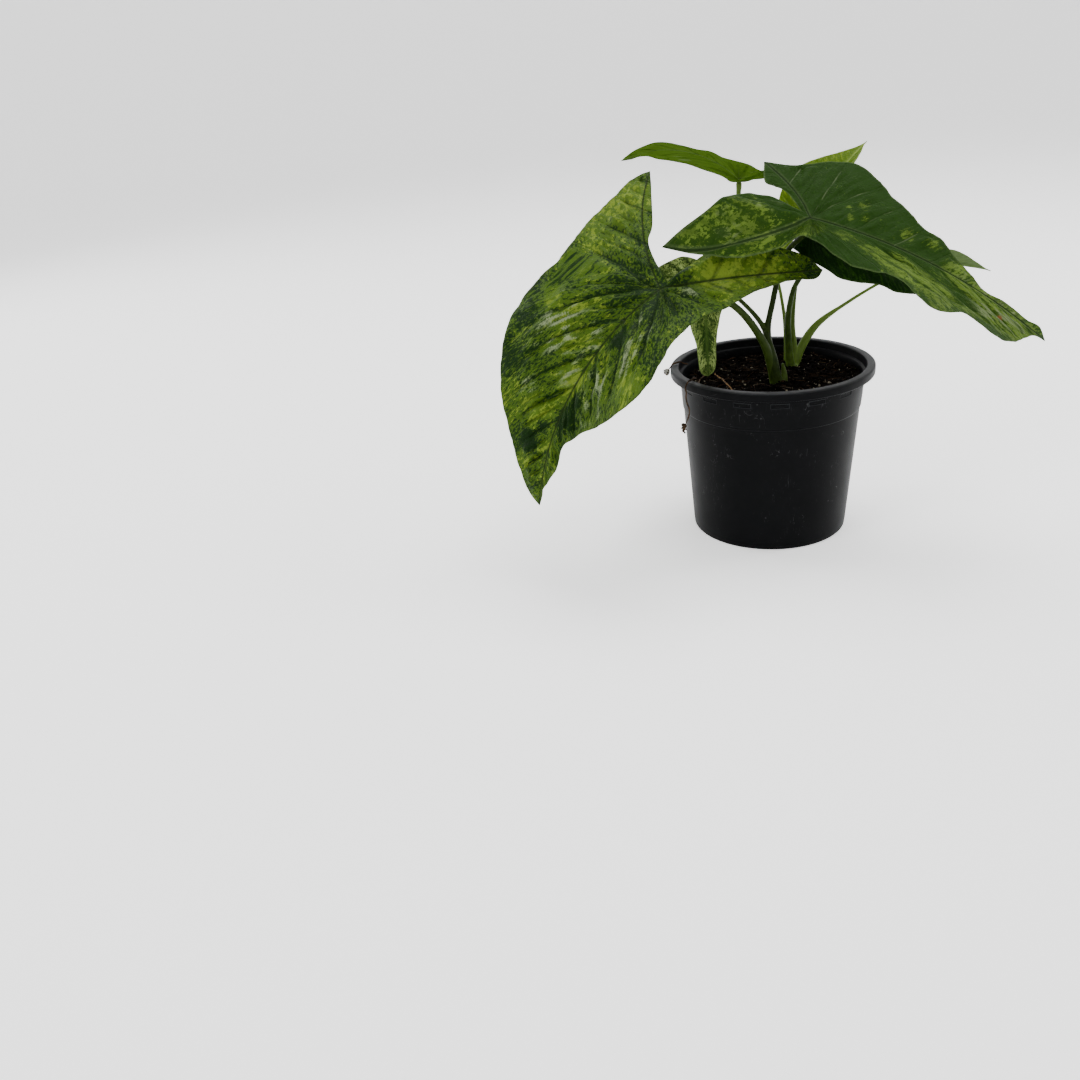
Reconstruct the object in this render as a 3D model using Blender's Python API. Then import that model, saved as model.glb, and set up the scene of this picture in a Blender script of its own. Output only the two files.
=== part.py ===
"""Arrowhead plant in a round plastic nursery pot.

The pot stands on z = 0 with its axis on Z. +X is to the right of the usual view, -Y towards
the viewer. Sizes are millimetres, turned into metres by MM where a mesh is made.
"""
import math

import bmesh
import bpy
import numpy as np
from mathutils import Vector, noise

MM = 0.001
GAP = 0.3                 # clearance between two pieces that touch

# Pot
RIM_RADIUS = 59.7         # widest point of the rolled lip
RIM_TOP = 102.0
LIP_DEPTH = 5.2           # height of the lip, top to underside
MOUTH_RADIUS = 54.8
SHOULDER_RADIUS = 54.2    # wall just under the lip
FOOT_RADIUS = 46.5
WALL = 1.6
STEP_HEIGHT = 77.5        # where the wall steps in
STEP_DEPTH = 0.5
WINDOW_LOW = 91.2
WINDOW_HIGH = 94.2
WINDOW_COUNT = 16
WINDOW_DEPTH = 0.6
POT_SIDES = 64            # four to each window and the land beside it
FLOOR_TOP = 3.6
PAD_RADIUS = 20.0         # flat middle of the underside
GROOVE_DEPTH = 2.0
DRAIN_COUNT = 8
DRAIN_RADIUS = 4.0
DRAIN_CIRCLE = 30.5

# Soil
SOIL_TOP = 92.6
SOIL_SEED = 7.3
SOIL_SLOPE = 0.022        # it lies higher on the right
SOIL_SIDES = 36
LUMP_HEIGHT = 1.3
LUMP_WIDTH = 9.0
BANK_HEIGHT = 2.2         # the rise round each stem base
BANK_SPREAD = 9.5

# Stem bases, which stand in plain holes in the soil
STEM_RADIUS = 6.6
STEM_FOOT = 74.0          # height of their lower ends
STEM_HEAD = 95.0          # and of their tops
STEM_SIDES = 12
FRONT_STEM = (3.6, -15.0)
BACK_STEM = (12.6, 20.0)

# Leaf blades
BLADE = 0.8               # thickness of a blade
RIB = 1.7                 # thickness along the three main veins
FLAT_RADIUS = 9.0         # the blade lies level this close to its stalk
LOBE_SHARE = 0.34         # share of a side's steps that a lobe takes
RIB_SHARE = 0.09          # half width of a rib, as a share of the way to the edge

# Each leaf: where its stalk meets it; heading round Z, pitch and roll of its midrib there;
# sweep, the sideways bend of the midrib; then its outline laid flat, x to the tip and y to
# its left, from tip to lobe tip and on to the notch (the left side from lobe tip to tip), and
# how it lies: (direction, rise in degrees, droop in degrees per 100 mm) from right round to left.
LEFT_LEAF = {
    "at": (-59.7, -48.0, 158.8), "heading": -140, "pitch": -24, "roll": -20, "sweep": 7,
    "tip": (144, -4),
    "right_edge": [(141, -15), (131, -23), (116, -33), (101, -44), (81, -54), (66, -60),
                   (45, -65), (22, -64), (6, -68), (-10, -74), (-30, -76), (-48, -79)],
    "right_lobe": (-59, -75), "right_bow": 7,
    "right_inner": [(-47, -60), (-28, -38), (-19, -31), (-11, -16)],
    "notch": (-6, -1),
    "left_inner": [(-19, -1), (-34, 0), (-54, 8), (-73, 19), (-84, 30)],
    "left_lobe": (-86, 40), "left_bow": 2,
    "left_edge": [(-78, 43), (-66, 37), (-52, 34), (-38, 32), (-22, 33), (-6, 34), (10, 34),
                  (25, 37), (41, 43), (58, 45), (76, 36), (92, 18), (104, 8), (114, 9),
                  (124, 4), (134, -2)],
    "lie": [(-180, 0, 0), (-150, 8, 5), (-125, 8, 10), (-90, 10, 20), (-45, 10, 30), (0, 0, 44),
            (45, 10, 30), (90, 2, 15), (125, -14, 0), (155, -16, 0), (180, 0, 0)],
}
RIGHT_LEAF = {
    "at": (19.3, -15.0, 187.4), "heading": -12, "pitch": -16, "roll": 20, "sweep": -1,
    "tip": (144, 6),
    "right_edge": [(137, 3), (132, -5), (124, -20), (116, -27), (103, -27), (94, -27), (86, -36),
                   (77, -41), (66, -35), (53, -29), (42, -32), (31, -31), (20, -25), (9, -17),
                   (-1, -14), (-8, -22), (-20, -33), (-34, -42), (-50, -46)],
    "right_lobe": (-66, -52), "right_bow": 6,
    "right_inner": [(-59, -42), (-50, -30), (-44, -17), (-36, -5), (-24, 2), (-14, 2)],
    "notch": (-6, 3),
    "left_inner": [(-12, 8), (-19, 13), (-26, 14), (-31, 14)],
    "left_lobe": (-38, 31), "left_bow": -3,
    "left_edge": [(-28, 34), (-20, 36), (-10, 43), (-2, 47), (6, 50), (14, 49), (22, 46),
                  (30, 40), (38, 34), (47, 27), (58, 21), (69, 20), (77, 16), (88, 12), (101, 7),
                  (116, 9), (129, 9), (138, 11)],
    "lie": [(-180, 12, 10), (-155, 14, 10), (-135, -6, 14), (-110, -20, 14), (-80, -10, 10),
            (-35, 4, 14), (0, 0, 20), (35, 7, 12), (80, 13, 10), (110, 13, 12), (135, 11, 14),
            (160, 10, 10), (180, 12, 10)],
}
REAR_LEAF = {
    "at": (-21.4, 66.0, 198.6), "heading": 184, "pitch": 46, "roll": -9, "sweep": 0,
    "lean": 45,
    "tip": (79, -1),
    "right_edge": [(76, -9), (69, -16), (60, -20), (51, -17), (42, -12), (33, -10), (25, -14),
                   (16, -18), (5, -21), (-8, -23)],
    "right_lobe": (-19, -21), "right_bow": 3,
    "right_inner": [(-15, -12), (-9, -4)],
    "notch": (-4, 0),
    "left_inner": [(-8, 8), (-14, 16), (-20, 24)],
    "left_lobe": (-21, 31), "left_bow": 0,
    "left_edge": [(-13, 30), (-4, 24), (5, 20), (15, 20), (28, 22), (40, 24), (49, 24), (57, 18),
                  (66, 9), (73, 3)],
    "lie": [(-180, 46, 0), (-140, 34, 10), (-100, 20, 20), (-45, 4, 66), (0, 0, 88), (40, 0, 70),
            (70, 4, 40), (125, 78, 215), (155, 66, 160), (180, 46, 0)],
}
LOW_LEAF = {
    "at": (20.0, 8.0, 174.0), "heading": -8, "pitch": -14, "roll": 4, "sweep": 0,
    "tip": (78, -1),
    "right_edge": [(75, -5), (68, -10), (57, -14), (48, -14), (35, -17), (22, -19), (14, -18),
                   (6, -15)],
    "right_lobe": (-9, -10), "right_bow": 0,
    "right_inner": [(-8, -4)],
    "notch": (-4, 0),
    "left_inner": [(-8, 3)],
    "left_lobe": (-12, 6), "left_bow": 0,
    "left_edge": [(-8, 9), (4, 11), (20, 12), (38, 12), (56, 8), (69, 4)],
    "lie": [(-180, -10, 10), (-135, -30, 20), (-90, -46, 60), (-40, -20, 50), (0, 0, 30),
            (40, 0, 40), (90, -8, 40), (140, -14, 30), (180, -10, 10)],
}
HANGING_LEAF = {
    "at": (-38.0, -19.0, 159.8), "heading": -93, "pitch": -80, "roll": 0, "sweep": 0,
    "tip": (57.5, 3),
    "right_edge": [(57, 0), (54, -2), (48, -3), (40, -4), (30, -8), (20, -12), (11, -19),
                   (5, -27)],
    "right_lobe": (-1, -31.5), "right_bow": 2,
    "right_inner": [(-5, -26), (-8, -19), (-10, -12), (-8, -4)],
    "notch": (-5, 1),
    "left_inner": [(-7, 6), (-10, 14)],
    "left_lobe": (-12, 24), "left_bow": -2,
    "left_edge": [(-2, 22), (6, 19), (14, 14), (22, 10), (30, 8), (40, 7), (50, 7), (55, 6)],
    "lie": [(-180, 0, 0), (-140, 0, 10), (-90, -10, 10), (-40, -24, 8), (0, 0, 4), (40, -24, 8),
            (90, -10, 10), (140, 0, 10), (180, 0, 0)],
}

# Two smaller leaves share one arrowhead outline, scaled by length, the half width of each
# side, and the length and spread (degrees from straight back) of each lobe.
YOUNG_LEAF = {
    "at": (18.4, 31.0, 177.4), "heading": 57, "pitch": 40, "roll": 0, "sweep": -3,
    "lean": 35,
    "length": 75, "widths": (12, 24), "lobes": (15, 22), "spreads": (32, 46),
    "lie": [(-180, -10, 0), (-140, 0, 40), (-90, 40, 30), (-40, 24, 24), (0, 0, 26),
            (40, 14, 20), (90, 10, 30), (140, -24, 40), (180, -10, 0)],
}
FAR_LEAF = {
    "at": (76.9, 42.0, 149.8), "heading": 9, "pitch": 6, "roll": -28, "sweep": 0,
    "lean": 40,
    "length": 50, "widths": (15, 16), "lobes": (16, 16), "spreads": (36, 36),
    "lie": [(-180, 0, 0), (-140, -4, 30), (-90, 8, 40), (-40, 6, 50), (0, 0, 66),
            (40, 6, 50), (90, 8, 40), (140, -4, 30), (180, 0, 0)],
}

# Stalks: points from the stem base to just under the leaf
RIGHT_STALK = [(3.6, -15, 92), (0.5, -14, 108), (-2.4, -11, 124), (0.2, -7, 140), (3.4, -4, 155),
               (8.0, -4.5, 168)]
RIGHT_SHEATH = [(3.8, -15.4, 90), (0.6, -14.6, 108), (-3.6, -12.5, 125)]
LEFT_STALK = [(2.6, -15, 92), (0.0, -15.5, 105), (-5.0, -18, 120), (-20.7, -27, 143),
              (-38, -35, 152)]
HANGING_STALK = [(2.0, -13.5, 92), (-1.0, -12, 110), (-4.6, -11, 126), (-16.0, -9, 140),
                 (-29, -7, 150)]
STUB = [(7.0, -14.5, 90), (7.6, -12.0, 98), (6.4, -9.5, 105)]
LOW_STALK = [(11.6, 17, 92), (10.0, 16, 110), (9.3, 14, 125), (12.1, 10.5, 143),
             (18.0, 8.5, 155)]
YOUNG_STALK = [(13.6, 20, 92), (13.4, 21, 106), (12.3, 22, 120), (13.6, 20.5, 143),
               (16.0, 24, 161)]
REAR_STALK = [(10.0, 23, 92), (8.6, 26, 110), (7.0, 30, 124), (2.0, 38, 146), (-13.0, 56, 182)]
FAR_STALK = [(14.0, 20.6, 92), (17.2, 23, 103), (26.0, 29, 116), (44.0, 35, 128),
             (62.0, 39, 138)]
STALK_SIDES = 10

# Dry roots. The stretches on the soil are given as x, y and follow its surface
ROOT_RADIUS = 0.6
ROOT_CLEAR = 0.8          # over the mean height of the soil's lumps
LONG_ROOT_ON_SOIL = [(-39.0, 7.0), (-42.0, -3.0), (-42.4, -15.0)]
LONG_ROOT = [(-42.6, -27.0, 101.4), (-44.0, -33.5, 103.4), (-46.0, -38.2, 103.3),
             (-47.8, -40.6, 99.5), (-47.6, -40.6, 95.0), (-45.8, -40.6, 87.0),
             (-47.5, -38.6, 79.0), (-49.6, -35.6, 72.0)]
SOIL_ROOT = [(-34.5, 8.0), (-29.0, -4.0), (-25.0, -17.0), (-21.5, -29.0)]
RIM_ROOT = [(-50.4, 8.0, 99.6), (-54.2, 2.0, 102.9), (-58.4, -2.6, 102.9), (-61.2, -5.4, 99.8)]
CRUMB_RADIUS = 1.6


def clear_scene():
    for obj in list(bpy.data.objects):
        bpy.data.objects.remove(obj, do_unlink=True)


def material(name, colour, roughness):
    mat = bpy.data.materials.new(name)
    mat.use_nodes = True
    shader = mat.node_tree.nodes["Principled BSDF"]
    shader.inputs["Base Color"].default_value = (*colour, 1.0)
    shader.inputs["Roughness"].default_value = roughness
    shader.inputs["Metallic"].default_value = 0.0
    return mat


def link_object(name, bm, mat=None, sharp_degrees=35):
    """Scale a bmesh in millimetres to metres and put it in the scene."""
    bmesh.ops.recalc_face_normals(bm, faces=bm.faces)
    bmesh.ops.scale(bm, vec=(MM, MM, MM), verts=bm.verts)
    mesh = bpy.data.meshes.new(name)
    bm.to_mesh(mesh)
    bm.free()
    if mat:
        mesh.materials.append(mat)
    mesh.shade_smooth()
    mesh.set_sharp_from_angle(angle=math.radians(sharp_degrees))
    obj = bpy.data.objects.new(name, mesh)
    bpy.context.scene.collection.objects.link(obj)
    return obj


def turned(profile, sides):
    """A closed body spun round Z from a profile of (radius, height) that ends on the axis."""
    bm = bmesh.new()
    verts = [bm.verts.new((r, 0.0, z)) for r, z in profile]
    edges = [bm.edges.new(pair) for pair in zip(verts, verts[1:])]
    bmesh.ops.spin(bm, geom=verts + edges, cent=(0, 0, 0), axis=(0, 0, 1), dvec=(0, 0, 0),
                   angle=math.tau, steps=sides, use_merge=True)
    bmesh.ops.remove_doubles(bm, verts=bm.verts, dist=0.001)
    return bm


def apply_boolean(obj, operation, cutter=None, collection=None):
    """Join or cut obj, apply the result and remove what it was made with."""
    mod = obj.modifiers.new(operation.title(), "BOOLEAN")
    mod.operation = operation
    mod.solver = "EXACT"
    if collection:
        mod.operand_type = "COLLECTION"
        mod.collection = collection
        used = list(collection.objects)
    else:
        mod.object = cutter
        used = [cutter]
    graph = bpy.context.evaluated_depsgraph_get()
    result = bpy.data.meshes.new_from_object(obj.evaluated_get(graph))
    obj.modifiers.remove(mod)
    old = obj.data
    obj.data = result
    result.name = old.name
    bpy.data.meshes.remove(old)
    for each in used:
        bpy.data.objects.remove(each, do_unlink=True)
    if collection:
        bpy.data.collections.remove(collection)


def wall_radius(z):
    """Outer radius of the pot wall, which tapers from the shoulder to the foot."""
    shoulder = RIM_TOP - LIP_DEPTH
    radius = FOOT_RADIUS + (SHOULDER_RADIUS - FOOT_RADIUS) * z / shoulder
    return radius if z >= STEP_HEIGHT else radius - STEP_DEPTH * z / STEP_HEIGHT


def make_pot():
    lip_low = RIM_TOP - LIP_DEPTH
    ledge = lip_low + 0.4
    outer = [(0, 0), (PAD_RADIUS, 0), (PAD_RADIUS + 1, GROOVE_DEPTH),
             (FOOT_RADIUS - 6.5, GROOVE_DEPTH), (FOOT_RADIUS - 5.5, 0), (FOOT_RADIUS - 1.2, 0),
             (FOOT_RADIUS, 1.2)]
    outer += [(wall_radius(z), z) for z in (25.0, 52.0, STEP_HEIGHT - 0.01)]
    outer += [(wall_radius(z), z) for z in (STEP_HEIGHT + 0.5, WINDOW_LOW, WINDOW_HIGH, lip_low)]
    lip = [(RIM_RADIUS - 1.0, lip_low), (RIM_RADIUS, lip_low + 1.2), (RIM_RADIUS, RIM_TOP - 2.0),
           (RIM_RADIUS - 0.8, RIM_TOP - 0.6), (RIM_RADIUS - 2.2, RIM_TOP),
           (MOUTH_RADIUS + 1.0, RIM_TOP), (MOUTH_RADIUS, RIM_TOP - 0.9)]
    inner = [(MOUTH_RADIUS - 0.6, ledge + 0.8), (SHOULDER_RADIUS - WALL, ledge),
             (FOOT_RADIUS - WALL, FLOOR_TOP), (0, FLOOR_TOP)]
    bm = turned(outer + lip + inner, POT_SIDES)
    cut_windows(bm)
    pot = link_object("pot", bm, material("black_plastic", (0.018, 0.019, 0.020), 0.45))
    holes = bpy.data.collections.new("drain_cutters")
    bpy.context.scene.collection.children.link(holes)
    for index in range(DRAIN_COUNT):
        turn = math.tau * (index + 0.5) / DRAIN_COUNT
        bm = bmesh.new()
        bmesh.ops.create_cone(bm, cap_ends=True, segments=STEM_SIDES, radius1=DRAIN_RADIUS,
                              radius2=DRAIN_RADIUS, depth=12.0)
        bmesh.ops.translate(bm, verts=bm.verts, vec=(DRAIN_CIRCLE * math.cos(turn),
                                                     DRAIN_CIRCLE * math.sin(turn), 2.0))
        cutter = link_object(f"drain_{index}", bm)
        bpy.context.scene.collection.objects.unlink(cutter)
        holes.objects.link(cutter)
    apply_boolean(pot, "DIFFERENCE", collection=holes)


def cut_windows(bm):
    """Sink the shallow moulded windows into the band under the lip."""
    bm.faces.ensure_lookup_table()
    pitch = math.tau / WINDOW_COUNT
    middle = (WINDOW_LOW + WINDOW_HIGH) / 2
    windows = {}
    for face in bm.faces:
        centre = face.calc_center_median()
        radius = math.hypot(centre.x, centre.y)
        if abs(centre.z - middle) > 0.3 or radius < SHOULDER_RADIUS - 0.8:
            continue
        turn = math.atan2(centre.y, centre.x) % math.tau
        if (turn % pitch) < pitch / 2:
            windows.setdefault(int(turn / pitch), []).append(face)
    for faces in windows.values():
        bmesh.ops.inset_region(bm, faces=faces, thickness=0.35, depth=-WINDOW_DEPTH,
                               use_even_offset=True)


def soil_height(x, y):
    """Top of the soil: lower on the left, banked at the stems, with lumps."""
    banks = sum(BANK_HEIGHT * math.exp(-((x - cx) ** 2 + (y - cy) ** 2) / BANK_SPREAD ** 2)
                for cx, cy in (FRONT_STEM, BACK_STEM))
    point = Vector((x / LUMP_WIDTH, y / LUMP_WIDTH, SOIL_SEED))
    lumps = LUMP_HEIGHT * noise.noise(point) + 0.5 * LUMP_HEIGHT * noise.noise(point * 2.3)
    return SOIL_TOP + SOIL_SLOPE * x + banks + lumps


def make_soil():
    low = FLOOR_TOP + GAP
    top_radius = wall_radius(SOIL_TOP) - WALL - GAP - 0.4
    low_radius = FOOT_RADIUS - WALL - GAP - 0.3
    rings = [(top_radius * share, SOIL_TOP) for share in (1.0, 0.86, 0.71, 0.56, 0.41, 0.26, 0.12)]
    profile = [(0, low), (low_radius, low), (top_radius, SOIL_TOP - 6.0)] + rings
    bm = turned(profile + [(0, SOIL_TOP)], SOIL_SIDES)
    for vert in bm.verts:
        if vert.co.z > SOIL_TOP - 1.0:
            radius = math.hypot(vert.co.x, vert.co.y)
            if radius < top_radius - 0.5 and radius > 0.1:
                here = Vector((vert.co.x, vert.co.y, SOIL_SEED)) * 0.37
                vert.co.x += 2.2 * noise.noise(here)
                vert.co.y += 2.2 * noise.noise(here + Vector((0, 0, 20)))
            vert.co.z = soil_height(vert.co.x, vert.co.y)
    bmesh.ops.triangulate(bm, faces=bm.faces)
    soil = link_object("soil", bm, material("dark_soil", (0.030, 0.020, 0.014), 0.95))
    for name, (x, y) in (("front", FRONT_STEM), ("back", BACK_STEM)):
        hole = stem_cylinder(x, y, STEM_RADIUS + GAP + 0.05, STEM_FOOT - GAP, RIM_TOP)
        apply_boolean(soil, "DIFFERENCE", cutter=link_object(f"{name}_hole", hole))


def stem_cylinder(x, y, radius, low, high):
    bm = bmesh.new()
    bmesh.ops.create_cone(bm, cap_ends=True, segments=STEM_SIDES, radius1=radius,
                          radius2=radius, depth=high - low)
    bmesh.ops.translate(bm, verts=bm.verts, vec=(x, y, (low + high) / 2))
    return bm


def spline(points, count):
    """count + 1 points evenly along a smooth open curve through the given points."""
    pts = [np.array(p, float) for p in points]
    pts = [2 * pts[0] - pts[1]] + pts + [2 * pts[-1] - pts[-2]]
    fine = []
    for p0, p1, p2, p3 in zip(pts, pts[1:], pts[2:], pts[3:]):
        t1 = np.linalg.norm(p1 - p0) ** 0.5
        t2 = t1 + np.linalg.norm(p2 - p1) ** 0.5
        t3 = t2 + np.linalg.norm(p3 - p2) ** 0.5
        for t in np.linspace(t1, t2, 12, endpoint=False):
            a1 = (t1 - t) / t1 * p0 + t / t1 * p1
            a2 = (t2 - t) / (t2 - t1) * p1 + (t - t1) / (t2 - t1) * p2
            a3 = (t3 - t) / (t3 - t2) * p2 + (t - t2) / (t3 - t2) * p3
            b1 = (t2 - t) / t2 * a1 + t / t2 * a2
            b2 = (t3 - t) / (t3 - t1) * a2 + (t - t1) / (t3 - t1) * a3
            fine.append((t2 - t) / (t2 - t1) * b1 + (t - t1) / (t2 - t1) * b2)
    fine.append(pts[-2])
    fine = np.array(fine)
    along = np.concatenate([[0], np.cumsum(np.linalg.norm(np.diff(fine, axis=0), axis=1))])
    wanted = np.linspace(0, along[-1], count + 1)
    return np.stack([np.interp(wanted, along, axis) for axis in fine.T], axis=1)


def tube(points, radii, sides, count):
    """A closed tube along a smooth curve, with radii read evenly along it."""
    path = [Vector(p) for p in spline(points, count)]
    widths = np.interp(np.linspace(0, 1, count + 1), np.linspace(0, 1, len(radii)), radii)
    bm = bmesh.new()
    rings = []
    side = Vector((1, 0, 0))
    for index, (here, width) in enumerate(zip(path, widths)):
        ahead = path[min(index + 1, count)] - path[max(index - 1, 0)]
        ahead.normalize()
        side = (side - ahead * side.dot(ahead)).normalized()
        other = ahead.cross(side)
        ring = []
        for corner in range(sides):
            turn = math.tau * corner / sides
            ring.append(bm.verts.new(here + (side * math.cos(turn) + other * math.sin(turn))
                                     * width))
        rings.append(ring)
    for ring, following in zip(rings, rings[1:]):
        for corner in range(sides):
            after = (corner + 1) % sides
            bm.faces.new((ring[corner], ring[after], following[after], following[corner]))
    bm.faces.new(rings[0])
    bm.faces.new(rings[-1])
    bmesh.ops.triangulate(bm, faces=bm.faces)
    return bm


def leaf_axes(leaf):
    """The midrib's direction, the leaf's left and its upper side, where the stalk meets it."""
    heading, pitch, roll = (math.radians(leaf[key]) for key in ("heading", "pitch", "roll"))
    ahead = Vector((math.cos(heading) * math.cos(pitch), math.sin(heading) * math.cos(pitch),
                    math.sin(pitch)))
    level = Vector((-math.sin(heading), math.cos(heading), 0))
    over = ahead.cross(level)
    left = level * math.cos(roll) + over * math.sin(roll)
    up = over * math.cos(roll) - level * math.sin(roll)
    return ahead, left, up


def eased(stops, direction, column):
    """Read a column of stops at a direction, easing from one stop to the next."""
    for low, high in zip(stops, stops[1:]):
        if direction <= high[0]:
            share = (direction - low[0]) / (high[0] - low[0])
            share = share * share * (3 - 2 * share)
            return low[column] + (high[column] - low[column]) * share
    return stops[-1][column]


def lay(leaf, x, y):
    """Where a point of the flat leaf lies on the bent one."""
    reach = math.hypot(x, y)
    direction = math.degrees(math.atan2(y, x)) if reach > 1e-6 else 0.0
    rise = math.radians(eased(leaf["lie"], direction, 1))
    bend = math.radians(eased(leaf["lie"], direction, 2)) / 100 or 1e-6
    out = (math.sin(rise) - math.sin(rise - bend * reach)) / bend
    height = (math.cos(rise - bend * reach) - math.cos(rise)) / bend
    height *= min(1.0, reach / FLAT_RADIUS)
    ahead, left, up = leaf_axes(leaf)
    turn = math.radians(direction)
    aside = out * math.sin(turn) + leaf["sweep"] * (max(x, 0.0) / 100) ** 2
    return Vector(leaf["at"]) + ahead * out * math.cos(turn) + left * aside + up * height


def arrowhead(leaf):
    """Fill in a smaller leaf's outline from its named sizes."""
    length = leaf["length"]
    whole = dict(leaf)
    whole["tip"] = (length, 0)
    whole["notch"] = (-4, 0)
    for side, sign, half, lobe, spread in zip(("right", "left"), (-1, 1), leaf["widths"],
                                              leaf["lobes"], leaf["spreads"]):
        back = math.radians(180 - spread)
        tip = np.array([math.cos(back), math.sin(back)]) * lobe
        out = np.array([math.sin(back), -math.cos(back)])
        edge = [(0.94 * length, 0.05 * half), (0.82 * length, 0.30 * half),
                (0.64 * length, 0.66 * half), (0.44 * length, 0.93 * half),
                (0.24 * length, 1.0 * half), (0.06 * length, 0.86 * half),
                0.62 * tip + out * 0.42 * lobe, 0.88 * tip + out * 0.20 * lobe]
        inner = [0.86 * tip - out * 0.13 * lobe, 0.52 * tip - out * 0.16 * lobe]
        order = -sign
        whole[side + "_edge"] = [(x, sign * y) for x, y in edge][::order]
        whole[side + "_lobe"] = (tip[0], sign * tip[1])
        whole[side + "_inner"] = [(x, sign * y) for x, y in inner][::order]
        whole[side + "_bow"] = 0
    return whole


def vein(leaf, side, count):
    """Flat points along a lobe's main vein, from the stalk out."""
    tip = np.array(leaf[side + "_lobe"], float)
    across = np.array([-tip[1], tip[0]]) / np.linalg.norm(tip)
    middle = tip / 2 + across * leaf[side + "_bow"] * 2
    shares = np.linspace(0, 1, count + 1)[:, None]
    return 2 * shares * (1 - shares) * middle + shares ** 2 * tip


def leaf_strips(leaf, along, across):
    """Flat grids from the main veins out to the edge, four to a leaf."""
    strips = []
    tip = np.array(leaf["tip"], float)
    lobe_steps = round(along * LOBE_SHARE)
    for side, order in (("right", 1), ("left", -1)):
        edge = leaf[side + "_edge"][::order]
        inner = leaf[side + "_inner"][::order]
        outer = spline([leaf["tip"]] + edge + [leaf[side + "_lobe"]], along)
        main = [tip * (1 - share) for share in np.linspace(0, 1, along - lobe_steps + 1)]
        lobe_vein = vein(leaf, side, lobe_steps)
        feet = np.array(main + list(lobe_vein[1:]))
        strips.append((feet, outer))
        margin = spline([leaf[side + "_lobe"]] + inner + [leaf["notch"]], lobe_steps)
        strips.append((lobe_vein[::-1], margin))
    shares = [0.0] + list(np.linspace(RIB_SHARE, 1, across + 1))
    return [[feet * (1 - share) + margin * share for share in shares] for feet, margin in strips]


def make_leaf(name, leaf, along, across, colour, roughness):
    """A blade laid from its flat outline, thick along its three main veins."""
    if "tip" not in leaf:
        leaf = arrowhead(leaf)
    bm = bmesh.new()
    veins = []
    for strip in leaf_strips(leaf, along, across):
        grid = [[bm.verts.new(lay(leaf, x, y)) for x, y in row] for row in strip]
        veins += [vert.co.copy() for vert in grid[0]]
        for row, following in zip(grid, grid[1:]):
            for a, b, c, d in zip(row, row[1:], following[1:], following):
                bm.faces.new((a, b, c))
                bm.faces.new((a, c, d))
    bmesh.ops.remove_doubles(bm, verts=bm.verts, dist=0.05)
    bmesh.ops.recalc_face_normals(bm, faces=bm.faces)
    bm.normal_update()
    up = leaf_axes(leaf)[2]
    near_stalk = min(bm.verts, key=lambda v: (v.co - Vector(leaf["at"])).length)
    if near_stalk.normal.dot(up) < 0:
        bmesh.ops.reverse_faces(bm, faces=bm.faces)
        bm.normal_update()
    below = {}
    faces = [[vert for vert in face.verts] for face in bm.faces]
    border = [(loop.vert, loop.link_loop_next.vert) for edge in bm.edges if edge.is_boundary
              for loop in edge.link_loops]
    for vert in list(bm.verts):
        on_vein = any((vert.co - point).length < 0.06 for point in veins)
        drop = RIB - BLADE / 2 if on_vein and not vert.is_boundary else BLADE / 2
        below[vert] = bm.verts.new(vert.co - vert.normal * drop)
    for vert in below:
        vert.co += vert.normal * BLADE / 2
    for loop in faces:
        bm.faces.new([below[vert] for vert in reversed(loop)])
    for a, b in border:
        bm.faces.new((b, a, below[a]))
        bm.faces.new((b, below[a], below[b]))
    bmesh.ops.triangulate(bm, faces=bm.faces)
    return link_object(name, bm, material(name + "_green", colour, roughness), 60)


def stalk_end(leaf, radius):
    """The last points of a stalk of this radius: square under the ribs and clear of them, or
    under the notch behind them where the stalk leans back, by the leaf's lean in degrees."""
    ahead, _, up = leaf_axes(leaf)
    lean = math.radians(leaf.get("lean", 0))
    along = up * math.cos(lean) + ahead * math.sin(lean)
    under = BLADE / 2 if lean else RIB - BLADE / 2
    clear = (under + GAP + 0.2) / math.cos(lean) + radius * math.tan(lean)
    at = Vector(leaf["at"])
    return [at - along * 9.0, at - along * 5.5, at - along * clear]


def make_shoot(name, stem, tubes, colour):
    """One stem base with its stalks, joined into one body."""
    base = link_object(name, stem_cylinder(*stem, STEM_RADIUS, STEM_FOOT, STEM_HEAD),
                       material(name + "_green", colour, 0.45))
    stalks = bpy.data.collections.new(name + "_stalks")
    bpy.context.scene.collection.children.link(stalks)
    for index, (points, radii, count) in enumerate(tubes):
        obj = link_object(f"{name}_{index}", tube(points, radii, STALK_SIDES, count))
        bpy.context.scene.collection.objects.unlink(obj)
        stalks.objects.link(obj)
    apply_boolean(base, "UNION", collection=stalks)


def on_soil(points):
    """Root points that lie just over the lumps of the soil."""
    return [(x, y, soil_height(x, y) + ROOT_RADIUS + ROOT_CLEAR) for x, y in points]


def make_root(name, points, count, crumb=None):
    root = link_object(name, tube(points, [ROOT_RADIUS, ROOT_RADIUS], 6, count),
                       material(name + "_brown", (0.20, 0.11, 0.05), 0.8))
    if crumb:
        bm = bmesh.new()
        bmesh.ops.create_icosphere(bm, subdivisions=1, radius=CRUMB_RADIUS)
        bmesh.ops.translate(bm, verts=bm.verts, vec=crumb)
        apply_boolean(root, "UNION", cutter=link_object(name + "_crumb", bm))


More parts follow.
